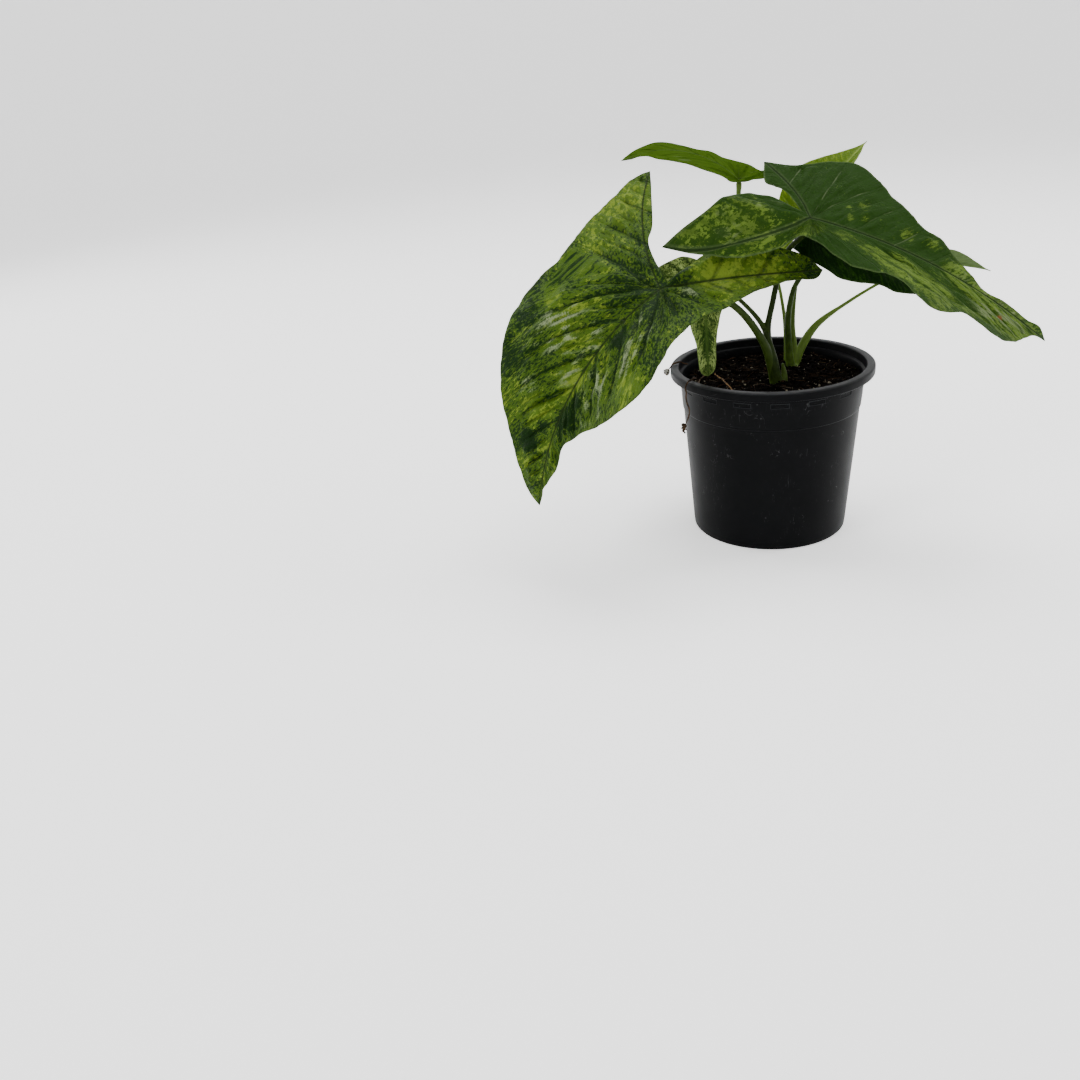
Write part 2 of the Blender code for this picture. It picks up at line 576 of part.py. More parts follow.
clear_scene()
make_pot()
make_soil()
make_leaf("leaf_left", LEFT_LEAF, 30, 4, (0.17, 0.28, 0.03), 0.35)
make_leaf("leaf_right", RIGHT_LEAF, 34, 4, (0.05, 0.13, 0.02), 0.30)
make_leaf("leaf_rear", REAR_LEAF, 18, 3, (0.13, 0.26, 0.03), 0.35)
make_leaf("leaf_young", YOUNG_LEAF, 18, 3, (0.28, 0.42, 0.03), 0.25)
make_leaf("leaf_low", LOW_LEAF, 18, 3, (0.02, 0.06, 0.01), 0.30)
make_leaf("leaf_far", FAR_LEAF, 16, 3, (0.10, 0.20, 0.03), 0.35)
make_leaf("leaf_hanging", HANGING_LEAF, 18, 3, (0.40, 0.50, 0.20), 0.40)
make_shoot("shoot_front", FRONT_STEM, [
    (RIGHT_STALK + stalk_end(RIGHT_LEAF, 1.4), [3.0, 2.4, 1.8, 1.7, 1.6, 1.4], 20),
    (RIGHT_SHEATH, [3.8, 3.3, 1.6], 6),
    (LEFT_STALK + stalk_end(LEFT_LEAF, 1.4), [3.0, 2.4, 2.0, 1.8, 1.4], 18),
    (HANGING_STALK + stalk_end(HANGING_LEAF, 1.0), [2.6, 1.8, 1.4, 1.2, 1.0], 18),
    (STUB, [2.6, 2.0, 0.8], 4),
], (0.08, 0.13, 0.04))
make_shoot("shoot_back", BACK_STEM, [
    (LOW_STALK + stalk_end(LOW_LEAF, 1.2), [2.8, 2.0, 1.7, 1.5, 1.2], 18),
    (YOUNG_STALK + stalk_end(YOUNG_LEAF, 0.9), [2.4, 1.6, 1.1, 1.0, 0.9], 18),
    (REAR_STALK + stalk_end(REAR_LEAF, 0.9), [2.4, 1.5, 1.1, 1.0, 0.9], 18),
    (FAR_STALK + stalk_end(FAR_LEAF, 0.9), [2.8, 2.5, 1.2, 1.0, 0.9], 16),
], (0.14, 0.22, 0.06))
make_root("root_long", on_soil(LONG_ROOT_ON_SOIL) + LONG_ROOT, 26)
make_root("root_on_soil", on_soil(SOIL_ROOT), 12)
make_root("root_over_rim", RIM_ROOT, 7, crumb=(-61.7, -5.8, 99.2))
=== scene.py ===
"""The looks of the arrowhead plant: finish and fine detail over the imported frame.

Lengths are metres in the scene. Sections that follow the source work in millimetres and turn
them into metres with MM. They run in the order in which the plant is put together.
"""
import math

import bmesh
import bpy
import numpy as np
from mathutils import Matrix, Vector, noise


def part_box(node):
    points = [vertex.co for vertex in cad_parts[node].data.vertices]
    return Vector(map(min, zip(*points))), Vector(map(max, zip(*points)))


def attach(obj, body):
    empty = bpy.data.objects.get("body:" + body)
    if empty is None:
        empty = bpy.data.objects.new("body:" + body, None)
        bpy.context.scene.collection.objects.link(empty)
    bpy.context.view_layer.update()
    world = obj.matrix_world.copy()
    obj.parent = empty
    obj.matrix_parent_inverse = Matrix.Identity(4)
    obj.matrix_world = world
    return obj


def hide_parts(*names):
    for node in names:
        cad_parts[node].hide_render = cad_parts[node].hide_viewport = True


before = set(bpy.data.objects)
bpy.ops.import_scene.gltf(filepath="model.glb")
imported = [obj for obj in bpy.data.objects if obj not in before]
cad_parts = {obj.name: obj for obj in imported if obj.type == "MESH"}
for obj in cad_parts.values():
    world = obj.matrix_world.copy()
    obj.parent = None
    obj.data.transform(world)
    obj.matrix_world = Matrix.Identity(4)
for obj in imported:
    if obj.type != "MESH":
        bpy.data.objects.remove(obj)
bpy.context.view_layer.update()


# The pot: a tapered nursery pot, moulded in one shot from black polypropylene. It has a rolled
# lip, a band of shallow moulded windows under it, a step ring, and drain holes in its floor.
# The surface is satin, lightly scuffed by handling.
MM = 0.001
RIM_RADIUS = 59.7
RIM_TOP = 102.0
LIP_DEPTH = 5.2
MOUTH_RADIUS = 54.8
SHOULDER_RADIUS = 54.2
FOOT_RADIUS = 46.5
WALL = 1.6
STEP_HEIGHT = 77.5
STEP_DEPTH = 0.5
FLOOR_TOP = 3.6
WINDOW_LOW = 91.2
WINDOW_HIGH = 94.2
WINDOW_COUNT = 16
DRAIN_COUNT = 8
DRAIN_RADIUS = 4.0
DRAIN_RING = 30.5
POT_SIDES = 192


class Signal:
    """A socket in a material's nodes that adds and multiplies like a number."""

    def __init__(self, finish, socket):
        self.finish = finish
        self.socket = socket

    def maths(self, operation, *values):
        return self.finish.node("Math", dict(enumerate(values)), operation=operation)

    def __add__(self, other):
        return self.maths("ADD", self, other)

    __radd__ = __add__

    def __sub__(self, other):
        return self.maths("SUBTRACT", self, other)

    def __mul__(self, other):
        return self.maths("MULTIPLY", self, other)

    __rmul__ = __mul__

    def __abs__(self):
        return self.maths("ABSOLUTE", self)

    def fold(self, half):
        """Distance from the nearest whole multiple of twice this."""
        return self.maths("PINGPONG", self, half)

    def step(self, low, high):
        """0 at low and 1 at high, smooth between them; falling where low is the larger."""
        return self.finish.node("MapRange", {0: self, 1: low, 2: high},
                                interpolation_type="SMOOTHSTEP")


class Finish:
    """A material, and the one way in which its nodes are made."""

    def __init__(self, name, constants):
        self.material = bpy.data.materials.new(name)
        self.material.use_nodes = True
        self.tree = self.material.node_tree
        self.shader = self.tree.nodes["Principled BSDF"]
        for socket, value in constants.items():
            self.shader.inputs[socket].default_value = value

    def node(self, kind, inputs, output=0, **settings):
        """Make a node, link or set its inputs, and give one of its outputs."""
        made = self.tree.nodes.new("ShaderNode" + kind)
        for setting, value in settings.items():
            setattr(made, setting, value)
        for socket, value in inputs.items():
            if isinstance(value, Signal):
                self.tree.links.new(value.socket, made.inputs[socket])
            else:
                made.inputs[socket].default_value = value
        return Signal(self, made.outputs[output])

    def place(self):
        """Object coordinates in millimetres."""
        coords = self.node("TexCoord", {}, output=3)
        return self.node("VectorMath", {0: coords, "Scale": 1 / MM}, operation="SCALE")

    def attribute(self, name):
        return self.node("Attribute", {}, output=2, attribute_name=name)

    def stretched(self, coords, scale, shift=0.0):
        return self.node("Mapping", {"Vector": coords, "Scale": scale,
                                     "Location": (shift, shift, shift)})

    def cloudy(self, coords, size, detail=2.0, roughness=0.5, distortion=0.0):
        """Soft noise about 0.5, with lumps of about this size in millimetres."""
        return self.node("TexNoise", {"Vector": coords, "Scale": 1 / size, "Detail": detail,
                                      "Roughness": roughness, "Distortion": distortion})

    def blend(self, share, first, second):
        """A colour between two colours."""
        first, second = (c if isinstance(c, Signal) else (*c, 1) for c in (first, second))
        return self.node("Mix", {0: share, 6: first, 7: second}, output=2, data_type="RGBA")

    def over(self, shade, *coats):
        """A colour with others laid over it in turn, each with its share."""
        for share, colour in coats:
            shade = self.blend(share, shade, colour)
        return shade

    def bumps(self, height, depth):
        """Relief of this depth in millimetres."""
        return self.node("Bump", {"Strength": 1.0, "Distance": depth * MM, "Height": height})

    def wear(self, piece, **varying):
        """Link what varies over the surface, and give the piece this finish."""
        for socket, value in varying.items():
            self.tree.links.new(value.socket, self.shader.inputs[socket.replace("_", " ")])
        piece.data.materials.clear()
        piece.data.materials.append(self.material)


def link_object(name, bm):
    """Put a bmesh in the scene as an object."""
    mesh = bpy.data.meshes.new(name)
    bm.to_mesh(mesh)
    bm.free()
    made = bpy.data.objects.new(name, mesh)
    bpy.context.scene.collection.objects.link(made)
    return made


def place_piece(name, bm, slot, nodes, sharp_degrees=180):
    """Turn a bmesh in millimetres into a piece of the plant that stands for CAD nodes."""
    bmesh.ops.scale(bm, vec=(MM, MM, MM), verts=bm.verts)
    piece = link_object(name, bm)
    piece.data.shade_smooth()
    piece.data.set_sharp_from_angle(angle=math.radians(sharp_degrees))
    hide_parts(*nodes)
    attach(piece, "root")
    return piece


def turned(profile, sides):
    """A closed body spun round Z from a profile of (radius, height) that ends on the axis."""
    bm = bmesh.new()
    verts = [bm.verts.new((r, 0.0, z)) for r, z in profile]
    edges = [bm.edges.new(pair) for pair in zip(verts, verts[1:])]
    bmesh.ops.spin(bm, geom=verts + edges, cent=(0, 0, 0), axis=(0, 0, 1), dvec=(0, 0, 0),
                   angle=math.tau, steps=sides, use_merge=True)
    bmesh.ops.remove_doubles(bm, verts=bm.verts, dist=0.001)
    bmesh.ops.recalc_face_normals(bm, faces=bm.faces)
    return bm


def wall_radius(z):
    shoulder = RIM_TOP - LIP_DEPTH
    radius = FOOT_RADIUS + (SHOULDER_RADIUS - FOOT_RADIUS) * z / shoulder
    return radius if z >= STEP_HEIGHT else radius - STEP_DEPTH * z / STEP_HEIGHT


def arc(centre, radius, start, end, count):
    """Points of a profile round a corner, angles in degrees."""
    return [(centre[0] + radius * math.cos(math.radians(turn)),
             centre[1] + radius * math.sin(math.radians(turn)))
            for turn in np.linspace(start, end, count)]


def pot_profile():
    lip_low = RIM_TOP - LIP_DEPTH
    ledge = lip_low + 0.4
    outer = [(0, 0), (20, 0), (20.6, 1.2), (21.4, 2.0), (FOOT_RADIUS - 6.9, 2.0),
             (FOOT_RADIUS - 6.1, 1.2), (FOOT_RADIUS - 5.5, 0)]
    outer += arc((FOOT_RADIUS - 1.4, 1.4), 1.4, -90, 0, 6)
    outer += [(wall_radius(z), z) for z in (4, 12, 20, 28, 36, 44, 52, 60, 68, 74)]
    outer += [(wall_radius(STEP_HEIGHT - 0.6), STEP_HEIGHT - 0.6),
              (wall_radius(STEP_HEIGHT) - STEP_DEPTH, STEP_HEIGHT - 0.1)]
    outer += arc((wall_radius(STEP_HEIGHT) - 0.3, STEP_HEIGHT + 0.5), 0.3, -80, 0, 4)
    outer += [(wall_radius(z), z) for z in (80, 84, 88, WINDOW_LOW, WINDOW_HIGH, 95.6)]
    outer += arc((wall_radius(lip_low) + 0.7, lip_low - 0.7), 0.7, 180, 90, 4)
    lip = arc((RIM_RADIUS - 0.9, lip_low + 0.9), 0.9, -80, 0, 5)
    lip += arc((RIM_RADIUS - 1.1, RIM_TOP - 1.1), 1.1, 0, 90, 9)
    lip += arc((MOUTH_RADIUS + 0.8, RIM_TOP - 0.8), 0.8, 90, 180, 6)
    inner = [(MOUTH_RADIUS - 0.5, ledge + 1.2), (MOUTH_RADIUS - 0.7, ledge + 0.4),
             (SHOULDER_RADIUS - WALL + 0.3, ledge), (SHOULDER_RADIUS - WALL, ledge - 0.4)]
    inner += [(SHOULDER_RADIUS - WALL - 0.15, 92), (FOOT_RADIUS - WALL + 0.4, FLOOR_TOP + 2),
              (FOOT_RADIUS - WALL - 1.2, FLOOR_TOP), (40, FLOOR_TOP), (20, FLOOR_TOP),
              (0, FLOOR_TOP)]
    return outer + lip + inner


def sink_windows(bm):
    window_edge_highlight = bm.faces.layers.float.new("window_edge_highlight")
    pitch = math.tau / WINDOW_COUNT
    windows = {}
    for face in bm.faces:
        centre = face.calc_center_median()
        radius = math.hypot(centre.x, centre.y)
        middle = (WINDOW_LOW + WINDOW_HIGH) / 2
        if abs(centre.z - middle) > 0.3 or radius < SHOULDER_RADIUS - 0.8:
            continue
        turn = math.atan2(centre.y, centre.x) % math.tau
        if turn % pitch < pitch / 2:
            windows.setdefault(int(turn / pitch), []).append(face)
    for faces in windows.values():
        # The flat ring round each window is kept for a painted highlight along its edge.
        ring = bmesh.ops.inset_region(bm, faces=faces, thickness=0.3, depth=0,
                                      use_even_offset=True)
        for face in ring["faces"]:
            face[window_edge_highlight] = 1.0
        bmesh.ops.inset_region(bm, faces=faces, thickness=0.22, depth=-0.3,
                               use_even_offset=True)


pot_bm = turned(pot_profile(), POT_SIDES)
sink_windows(pot_bm)
pot = place_piece("nursery_pot", pot_bm, "black_plastic", ["pot"], 38)

drains = bmesh.new()
for index in range(DRAIN_COUNT):
    turn = math.tau * (index + 0.5) / DRAIN_COUNT
    cutter = bmesh.ops.create_cone(drains, cap_ends=True, segments=28, radius1=DRAIN_RADIUS,
                                   radius2=DRAIN_RADIUS, depth=12.0)
    bmesh.ops.translate(drains, verts=cutter["verts"],
                        vec=(DRAIN_RING * math.cos(turn), DRAIN_RING * math.sin(turn), 2.0))
bmesh.ops.scale(drains, vec=(MM, MM, MM), verts=drains.verts)
drain_cutter = link_object("drains", drains)


def bake_modifiers(piece):
    """Make what a piece's modifiers give its mesh, and drop them."""
    graph = bpy.context.evaluated_depsgraph_get()
    made = bpy.data.meshes.new_from_object(piece.evaluated_get(graph))
    piece.modifiers.clear()
    old = piece.data
    piece.data = made
    bpy.data.meshes.remove(old)


cut = pot.modifiers.new("drain_holes", "BOOLEAN")
cut.solver = "EXACT"
cut.object = drain_cutter
bake_modifiers(pot)
bpy.data.objects.remove(drain_cutter, do_unlink=True)

plastic = Finish("moulded_plastic", {"Specular IOR Level": 0.042})
spot = plastic.place()
patches = plastic.cloudy(spot, 22, 3)
grain = plastic.cloudy(spot, 0.9, 3, 0.6)
scuff_lines = plastic.cloudy(plastic.stretched(spot, (1.0, 1.0, 0.10)), 0.7, 2, 0.5, 1.2)
scuffs = scuff_lines.step(0.66, 0.74) * patches.step(0.50, 0.66)
dust = plastic.cloudy(spot, 2.4, 4, 0.7).step(0.62, 0.78)
curls = abs(plastic.cloudy(spot, 5.0, 1, 0.4, 0.6) - 0.5).step(0.012, 0.003)
curls = curls * plastic.cloudy(spot, 6.0, 2).step(0.57, 0.66) * patches.step(0.48, 0.60)
# A lighter band over the top millimetre of the rim is a painted highlight along the lip's edge.
rim_highlight = plastic.node("SeparateXYZ", {0: spot}, output=2).step(RIM_TOP - 1.1, RIM_TOP - 0.1)
shade = plastic.over((0.0008, 0.0010, 0.0013), (patches, (0.0022, 0.0025, 0.0029)),
                     (dust * 0.10, (0.08, 0.07, 0.06)), (scuffs * 0.18, (0.14, 0.14, 0.14)),
                     (curls * 0.3, (0.10, 0.10, 0.10)),
                     # a painted highlight on the ring round each window
                     (plastic.attribute("window_edge_highlight") * 0.7, (0.020, 0.022, 0.023)),
                     (rim_highlight * (0.25 + 0.5 * patches), (0.050, 0.051, 0.053)))
plastic.wear(pot, Base_Color=shade, Roughness=0.34 + 0.16 * patches + 0.12 * scuffs,
             Normal=plastic.bumps(grain + 0.6 * patches, 0.05))


# The soil: peat mix that fills the pot, banked up round the two stem bases. Crumbs, peat fibres
# and grains of perlite lie loose on it, and bits of them are trodden into the surface.
SOIL_TOP = 92.6
SOIL_SEED = 7.3
SOIL_SLOPE = 0.022
FRONT_STEM = (3.6, -15.0)
BACK_STEM = (12.6, 20.0)
SOIL_RADIUS = 51.7
SOIL_FOOT_RADIUS = 44.4
SOIL_FOOT = 3.9
FIBRE_COUNT = 260


def soil_height(x, y):
    """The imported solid's top: lower on the left, banked at the stems, with lumps."""
    banks = sum(2.2 * math.exp(-((x - cx) ** 2 + (y - cy) ** 2) / 9.5 ** 2)
                for cx, cy in (FRONT_STEM, BACK_STEM))
    point = Vector((x / 9.0, y / 9.0, SOIL_SEED))
    lumps = 1.3 * noise.noise(point) + 0.65 * noise.noise(point * 2.3)
    return SOIL_TOP + SOIL_SLOPE * x + banks + lumps


def crumbly(x, y):
    """Finer lumps on the soil, fading out at the pot's wall."""
    fine = 0.9 * noise.noise(Vector((x / 2.4, y / 2.4, 1.0)))
    fine += 0.5 * noise.noise(Vector((x / 1.1, y / 1.1, 2.0)))
    fine += 0.9 * abs(noise.noise(Vector((x / 4.5, y / 4.5, 5.0))))
    return fine * min(1.0, (SOIL_RADIUS - math.hypot(x, y)) / 2.0)


def scatter(count, seed):
    """Places on the soil, evenly at random, each with four more random numbers."""
    chance = np.random.default_rng(seed)
    reach = (SOIL_RADIUS - 1.5) * np.sqrt(chance.random(count))
    turn = math.tau * chance.random(count)
    return zip(reach * np.cos(turn), reach * np.sin(turn), chance.random((count, 4)))


rings = [(SOIL_RADIUS * share, SOIL_TOP) for share in np.linspace(1.0, 0.01, 96)]
soil_bm = turned([(0, SOIL_FOOT), (SOIL_FOOT_RADIUS, SOIL_FOOT), (SOIL_RADIUS, SOIL_TOP - 6.0)]
                 + rings + [(0, SOIL_TOP)], 216)
tone = soil_bm.verts.layers.float.new("tone")
for vert in soil_bm.verts:
    vert[tone] = 0.0
    if vert.co.z > SOIL_TOP - 1.0:
        vert.co.z = soil_height(vert.co.x, vert.co.y) + crumbly(vert.co.x, vert.co.y)


def strew(bits, make):
    """Make bits a few dozen at a time, which is quick, and join them to the soil."""
    bits = list(bits)
    for begin in range(0, len(bits), 40):
        few = bmesh.new()
        few.verts.layers.float.new("tone")
        for bit in bits[begin:begin + 40]:
            make(few, few.verts.layers.float["tone"], *bit)
        mesh = bpy.data.meshes.new("bits")
        few.to_mesh(mesh)
        few.free()
        soil_bm.from_mesh(mesh)
        bpy.data.meshes.remove(mesh)


def make_crumb(few, tone, x, y, chances, seed, size, spread, colour):
    grow, turn, flat, shift = chances
    radius = size + spread * grow ** 3
    lean = Vector((turn - 0.5, shift - 0.5, grow - 0.5)).to_track_quat()
    crumb = bmesh.ops.create_icosphere(few, subdivisions=1, radius=radius,
                                       matrix=lean.to_matrix().to_4x4())["verts"]
    top = soil_height(x, y) + crumbly(x, y) + radius * 0.35
    for vert in crumb:
        rough = 1.0 + 0.5 * noise.noise(vert.co * 1.7 / radius + Vector((x, y, seed)))
        squashed = Vector((vert.co.x, vert.co.y, vert.co.z * (0.55 + 0.4 * flat)))
        vert.co = Vector((x, y, top)) + squashed * rough
        vert[tone] = colour * (0.6 + 0.4 * shift)


def make_fibre(few, tone, x, y, chances):
    grow, turn, flat, shift = chances
    lean = Vector((math.cos(math.tau * turn), math.sin(math.tau * turn), 0.5 * (flat - 0.4)))
    fibre = bmesh.ops.create_cone(few, cap_ends=True, segments=5, radius1=0.22, radius2=0.1,
                                  depth=2.0 + 6.0 * grow,
                                  matrix=lean.to_track_quat().to_matrix().to_4x4())["verts"]
    bmesh.ops.translate(few, verts=fibre,
                        vec=(x, y, soil_height(x, y) + crumbly(x, y) + 0.5 + 0.5 * shift))
    for vert in fibre:
        vert[tone] = 0.45 + 0.2 * shift


# Small crumbs, large crumbs and perlite: how many, seed, least size, spread of sizes and tone.
for count, *kind in ((1500, 3, 0.55, 0.9, 0.15), (160, 5, 1.5, 1.0, 0.3),
                     (130, 7, 0.45, 0.5, 1.0)):
    strew(((*bit, *kind) for bit in scatter(count, kind[0])), make_crumb)
strew(scatter(FIBRE_COUNT, 11), make_fibre)
soil = place_piece("potting_soil", soil_bm, "dark_soil", ["soil"], 70)

peat = Finish("peat_mix", {"Specular IOR Level": 0.02})
spot = peat.place()
kind_tone = peat.attribute("tone")
mottle = peat.cloudy(spot, 3.0, 5, 0.7)
flecks = peat.cloudy(spot, 0.8, 2, 0.5)
shade = peat.over((0.0005, 0.0004, 0.0003), (mottle.step(0.35, 0.7), (0.0055, 0.0035, 0.0022)),
                  (kind_tone.step(0.25, 0.5), (0.030, 0.017, 0.009)),
                  (flecks.step(0.70, 0.76) * 0.5, (0.10, 0.07, 0.04)),
                  (kind_tone.step(0.58, 0.72), (0.17, 0.15, 0.11)))
peat.wear(soil, Base_Color=shade, Roughness=0.75 + 0.25 * mottle,
          Normal=peat.bumps(peat.cloudy(spot, 0.9, 4, 0.7), 0.4))


# The stalks: two stem bases stand in the soil, and the petioles grow out of them, each wrapped
# at its foot in the sheath of the one before. They are smooth and fleshy, olive green, paler at
# the foot.
STEM_HEIGHTS = (74.2, 84.0, 96.5)
STEM_RADII = (6.2, 6.3, 5.0)
FLAT_RADIUS = 9.0         # a blade lies level this close to its stalk

LEFT_LEAF = dict(
    at=(-59.7, -48.0, 158.8), heading=-140, pitch=-24, roll=-20, sweep=7,
    tip=(144, -4),
    right_edge=[(141, -15), (131, -23), (116, -33), (101, -44), (81, -54), (66, -60),
                (45, -65), (22, -64), (6, -68), (-10, -74), (-30, -76), (-48, -79)],
    right_lobe=(-59, -75), right_bow=7,
    right_inner=[(-47, -60), (-28, -38), (-19, -31), (-11, -16)],
    notch=(-6, -1),
    left_inner=[(-19, -1), (-34, 0), (-54, 8), (-73, 19), (-84, 30)],
    left_lobe=(-86, 40), left_bow=2,
    left_edge=[(-78, 43), (-66, 37), (-52, 34), (-38, 32), (-22, 33), (-6, 34), (10, 34),
               (25, 37), (41, 43), (58, 45), (76, 36), (92, 18), (104, 8), (114, 9),
               (124, 4), (134, -2)],
    lie=[(-180, 0, 0), (-150, 8, 5), (-125, 8, 10), (-90, 10, 20), (-45, 10, 30), (0, 0, 44),
         (45, 10, 30), (90, 2, 15), (125, -14, 0), (155, -16, 0), (180, 0, 0)])
RIGHT_LEAF = dict(
    at=(19.3, -15.0, 187.4), heading=-12, pitch=-16, roll=20, sweep=-1,
    tip=(144, 6),
    right_edge=[(137, 3), (132, -5), (124, -20), (116, -27), (103, -27), (94, -27), (86, -36),
                (77, -41), (66, -35), (53, -29), (42, -32), (31, -31), (20, -25), (9, -17),
                (-1, -14), (-8, -22), (-20, -33), (-34, -42), (-50, -46)],
    right_lobe=(-66, -52), right_bow=6,
    right_inner=[(-59, -42), (-50, -30), (-44, -17), (-36, -5), (-24, 2), (-14, 2)],
    notch=(-6, 3),
    left_inner=[(-12, 8), (-19, 13), (-26, 14), (-31, 14)],
    left_lobe=(-38, 31), left_bow=-3,
    left_edge=[(-28, 34), (-20, 36), (-10, 43), (-2, 47), (6, 50), (14, 49), (22, 46),
               (30, 40), (38, 34), (47, 27), (58, 21), (69, 20), (77, 16), (88, 12), (101, 7),
               (116, 9), (129, 9), (138, 11)],
    lie=[(-180, 12, 10), (-155, 14, 10), (-135, -6, 14), (-110, -20, 14), (-80, -10, 10),
         (-35, 4, 14), (0, 0, 20), (35, 7, 12), (80, 13, 10), (110, 13, 12), (135, 11, 14),
         (160, 10, 10), (180, 12, 10)])
REAR_LEAF = dict(
    at=(-21.4, 66.0, 198.6), heading=184, pitch=46, roll=-9, sweep=0,
    lean=45,
    tip=(79, -1),
    right_edge=[(76, -9), (69, -16), (60, -20), (51, -17), (42, -12), (33, -10), (25, -14),
                (16, -18), (5, -21), (-8, -23)],
    right_lobe=(-19, -21), right_bow=3,
    right_inner=[(-15, -12), (-9, -4)],
    notch=(-4, 0),
    left_inner=[(-8, 8), (-14, 16), (-20, 24)],
    left_lobe=(-21, 31), left_bow=0,
    left_edge=[(-13, 30), (-4, 24), (5, 20), (15, 20), (28, 22), (40, 24), (49, 24), (57, 18),
               (66, 9), (73, 3)],
    lie=[(-180, 46, 0), (-140, 34, 10), (-100, 20, 20), (-45, 4, 66), (0, 0, 88), (40, 0, 70),
         (70, 4, 40), (125, 78, 215), (155, 66, 160), (180, 46, 0)])
LOW_LEAF = dict(
    at=(20.0, 8.0, 174.0), heading=-8, pitch=-14, roll=4, sweep=0,
    tip=(78, -1),
    right_edge=[(75, -5), (68, -10), (57, -14), (48, -14), (35, -17), (22, -19), (14, -18),
                (6, -15)],
    right_lobe=(-9, -10), right_bow=0,
    right_inner=[(-8, -4)],
    notch=(-4, 0),
    left_inner=[(-8, 3)],
    left_lobe=(-12, 6), left_bow=0,
    left_edge=[(-8, 9), (4, 11), (20, 12), (38, 12), (56, 8), (69, 4)],
    lie=[(-180, -10, 10), (-135, -30, 20), (-90, -46, 60), (-40, -20, 50), (0, 0, 30),
         (40, 0, 40), (90, -8, 40), (140, -14, 30), (180, -10, 10)])
HANGING_LEAF = dict(
    at=(-38.0, -19.0, 159.8), heading=-93, pitch=-80, roll=0, sweep=0,
    tip=(57.5, 3),
    right_edge=[(57, 0), (54, -2), (48, -3), (40, -4), (30, -8), (20, -12), (11, -19),
                (5, -27)],
    right_lobe=(-1, -31.5), right_bow=2,
    right_inner=[(-5, -26), (-8, -19), (-10, -12), (-8, -4)],
    notch=(-5, 1),
    left_inner=[(-7, 6), (-10, 14)],
    left_lobe=(-12, 24), left_bow=-2,
    left_edge=[(-2, 22), (6, 19), (14, 14), (22, 10), (30, 8), (40, 7), (50, 7), (55, 6)],
    lie=[(-180, 0, 0), (-140, 0, 10), (-90, -10, 10), (-40, -24, 8), (0, 0, 4), (40, -24, 8),
         (90, -10, 10), (140, 0, 10), (180, 0, 0)])
YOUNG_LEAF = dict(
    at=(18.4, 31.0, 177.4), heading=57, pitch=40, roll=0, sweep=-3,
    lean=35,
    length=75, widths=(12, 24), lobes=(15, 22), spreads=(32, 46),
    lie=[(-180, -10, 0), (-140, 0, 40), (-90, 40, 30), (-40, 24, 24), (0, 0, 26),
         (40, 14, 20), (90, 10, 30), (140, -24, 40), (180, -10, 0)])
FAR_LEAF = dict(
    at=(76.9, 42.0, 149.8), heading=9, pitch=6, roll=-28, sweep=0,
    lean=40,
    length=50, widths=(15, 16), lobes=(16, 16), spreads=(36, 36),
    lie=[(-180, 0, 0), (-140, -4, 30), (-90, 8, 40), (-40, 6, 50), (0, 0, 66),
         (40, 6, 50), (90, 8, 40), (140, -4, 30), (180, 0, 0)])

RIGHT_STALK = [(3.6, -15, 92), (0.5, -14, 108), (-2.4, -11, 124), (0.2, -7, 140), (3.4, -4, 155),
               (8.0, -4.5, 168)]
RIGHT_SHEATH = [(3.8, -15.4, 90), (0.6, -14.6, 108), (-3.6, -12.5, 125)]
LEFT_STALK = [(2.6, -15, 92), (0.0, -15.5, 105), (-5.0, -18, 120), (-20.7, -27, 143),
              (-38, -35, 152)]
HANGING_STALK = [(2.0, -13.5, 92), (-1.0, -12, 110), (-4.6, -11, 126), (-16.0, -9, 140),
                 (-29, -7, 150)]
STUB = [(7.0, -14.5, 90), (7.6, -12.0, 98), (6.4, -9.5, 105)]
LOW_STALK = [(11.6, 17, 92), (10.0, 16, 110), (9.3, 14, 125), (12.1, 10.5, 143),
             (18.0, 8.5, 155)]
YOUNG_STALK = [(13.6, 20, 92), (13.4, 21, 106), (12.3, 22, 120), (13.6, 20.5, 143),
               (16.0, 24, 161)]
REAR_STALK = [(10.0, 23, 92), (8.6, 26, 110), (7.0, 30, 124), (2.0, 38, 146), (-13.0, 56, 182)]
FAR_STALK = [(14.0, 20.6, 92), (17.2, 23, 103), (26.0, 29, 116), (44.0, 35, 128),
             (62.0, 39, 138)]


def spline(points, count):
    """count + 1 points evenly along a smooth open curve through the given points."""
    pts = [np.array(p, float) for p in points]
    pts = [2 * pts[0] - pts[1]] + pts + [2 * pts[-1] - pts[-2]]
    fine = []
    for p0, p1, p2, p3 in zip(pts, pts[1:], pts[2:], pts[3:]):
        t1 = np.linalg.norm(p1 - p0) ** 0.5
        t2 = t1 + np.linalg.norm(p2 - p1) ** 0.5
        t3 = t2 + np.linalg.norm(p3 - p2) ** 0.5
        for t in np.linspace(t1, t2, 12, endpoint=False):
            a1 = (t1 - t) / t1 * p0 + t / t1 * p1
            a2 = (t2 - t) / (t2 - t1) * p1 + (t - t1) / (t2 - t1) * p2
            a3 = (t3 - t) / (t3 - t2) * p2 + (t - t2) / (t3 - t2) * p3
            b1 = (t2 - t) / t2 * a1 + t / t2 * a2
            b2 = (t3 - t) / (t3 - t1) * a2 + (t - t1) / (t3 - t1) * a3
            fine.append((t2 - t) / (t2 - t1) * b1 + (t - t1) / (t2 - t1) * b2)
    fine.append(pts[-2])
    fine = np.array(fine)
    along = np.concatenate([[0], np.cumsum(np.linalg.norm(np.diff(fine, axis=0), axis=1))])
    wanted = np.linspace(0, along[-1], count + 1)
    return np.stack([np.interp(wanted, along, axis) for axis in fine.T], axis=1)


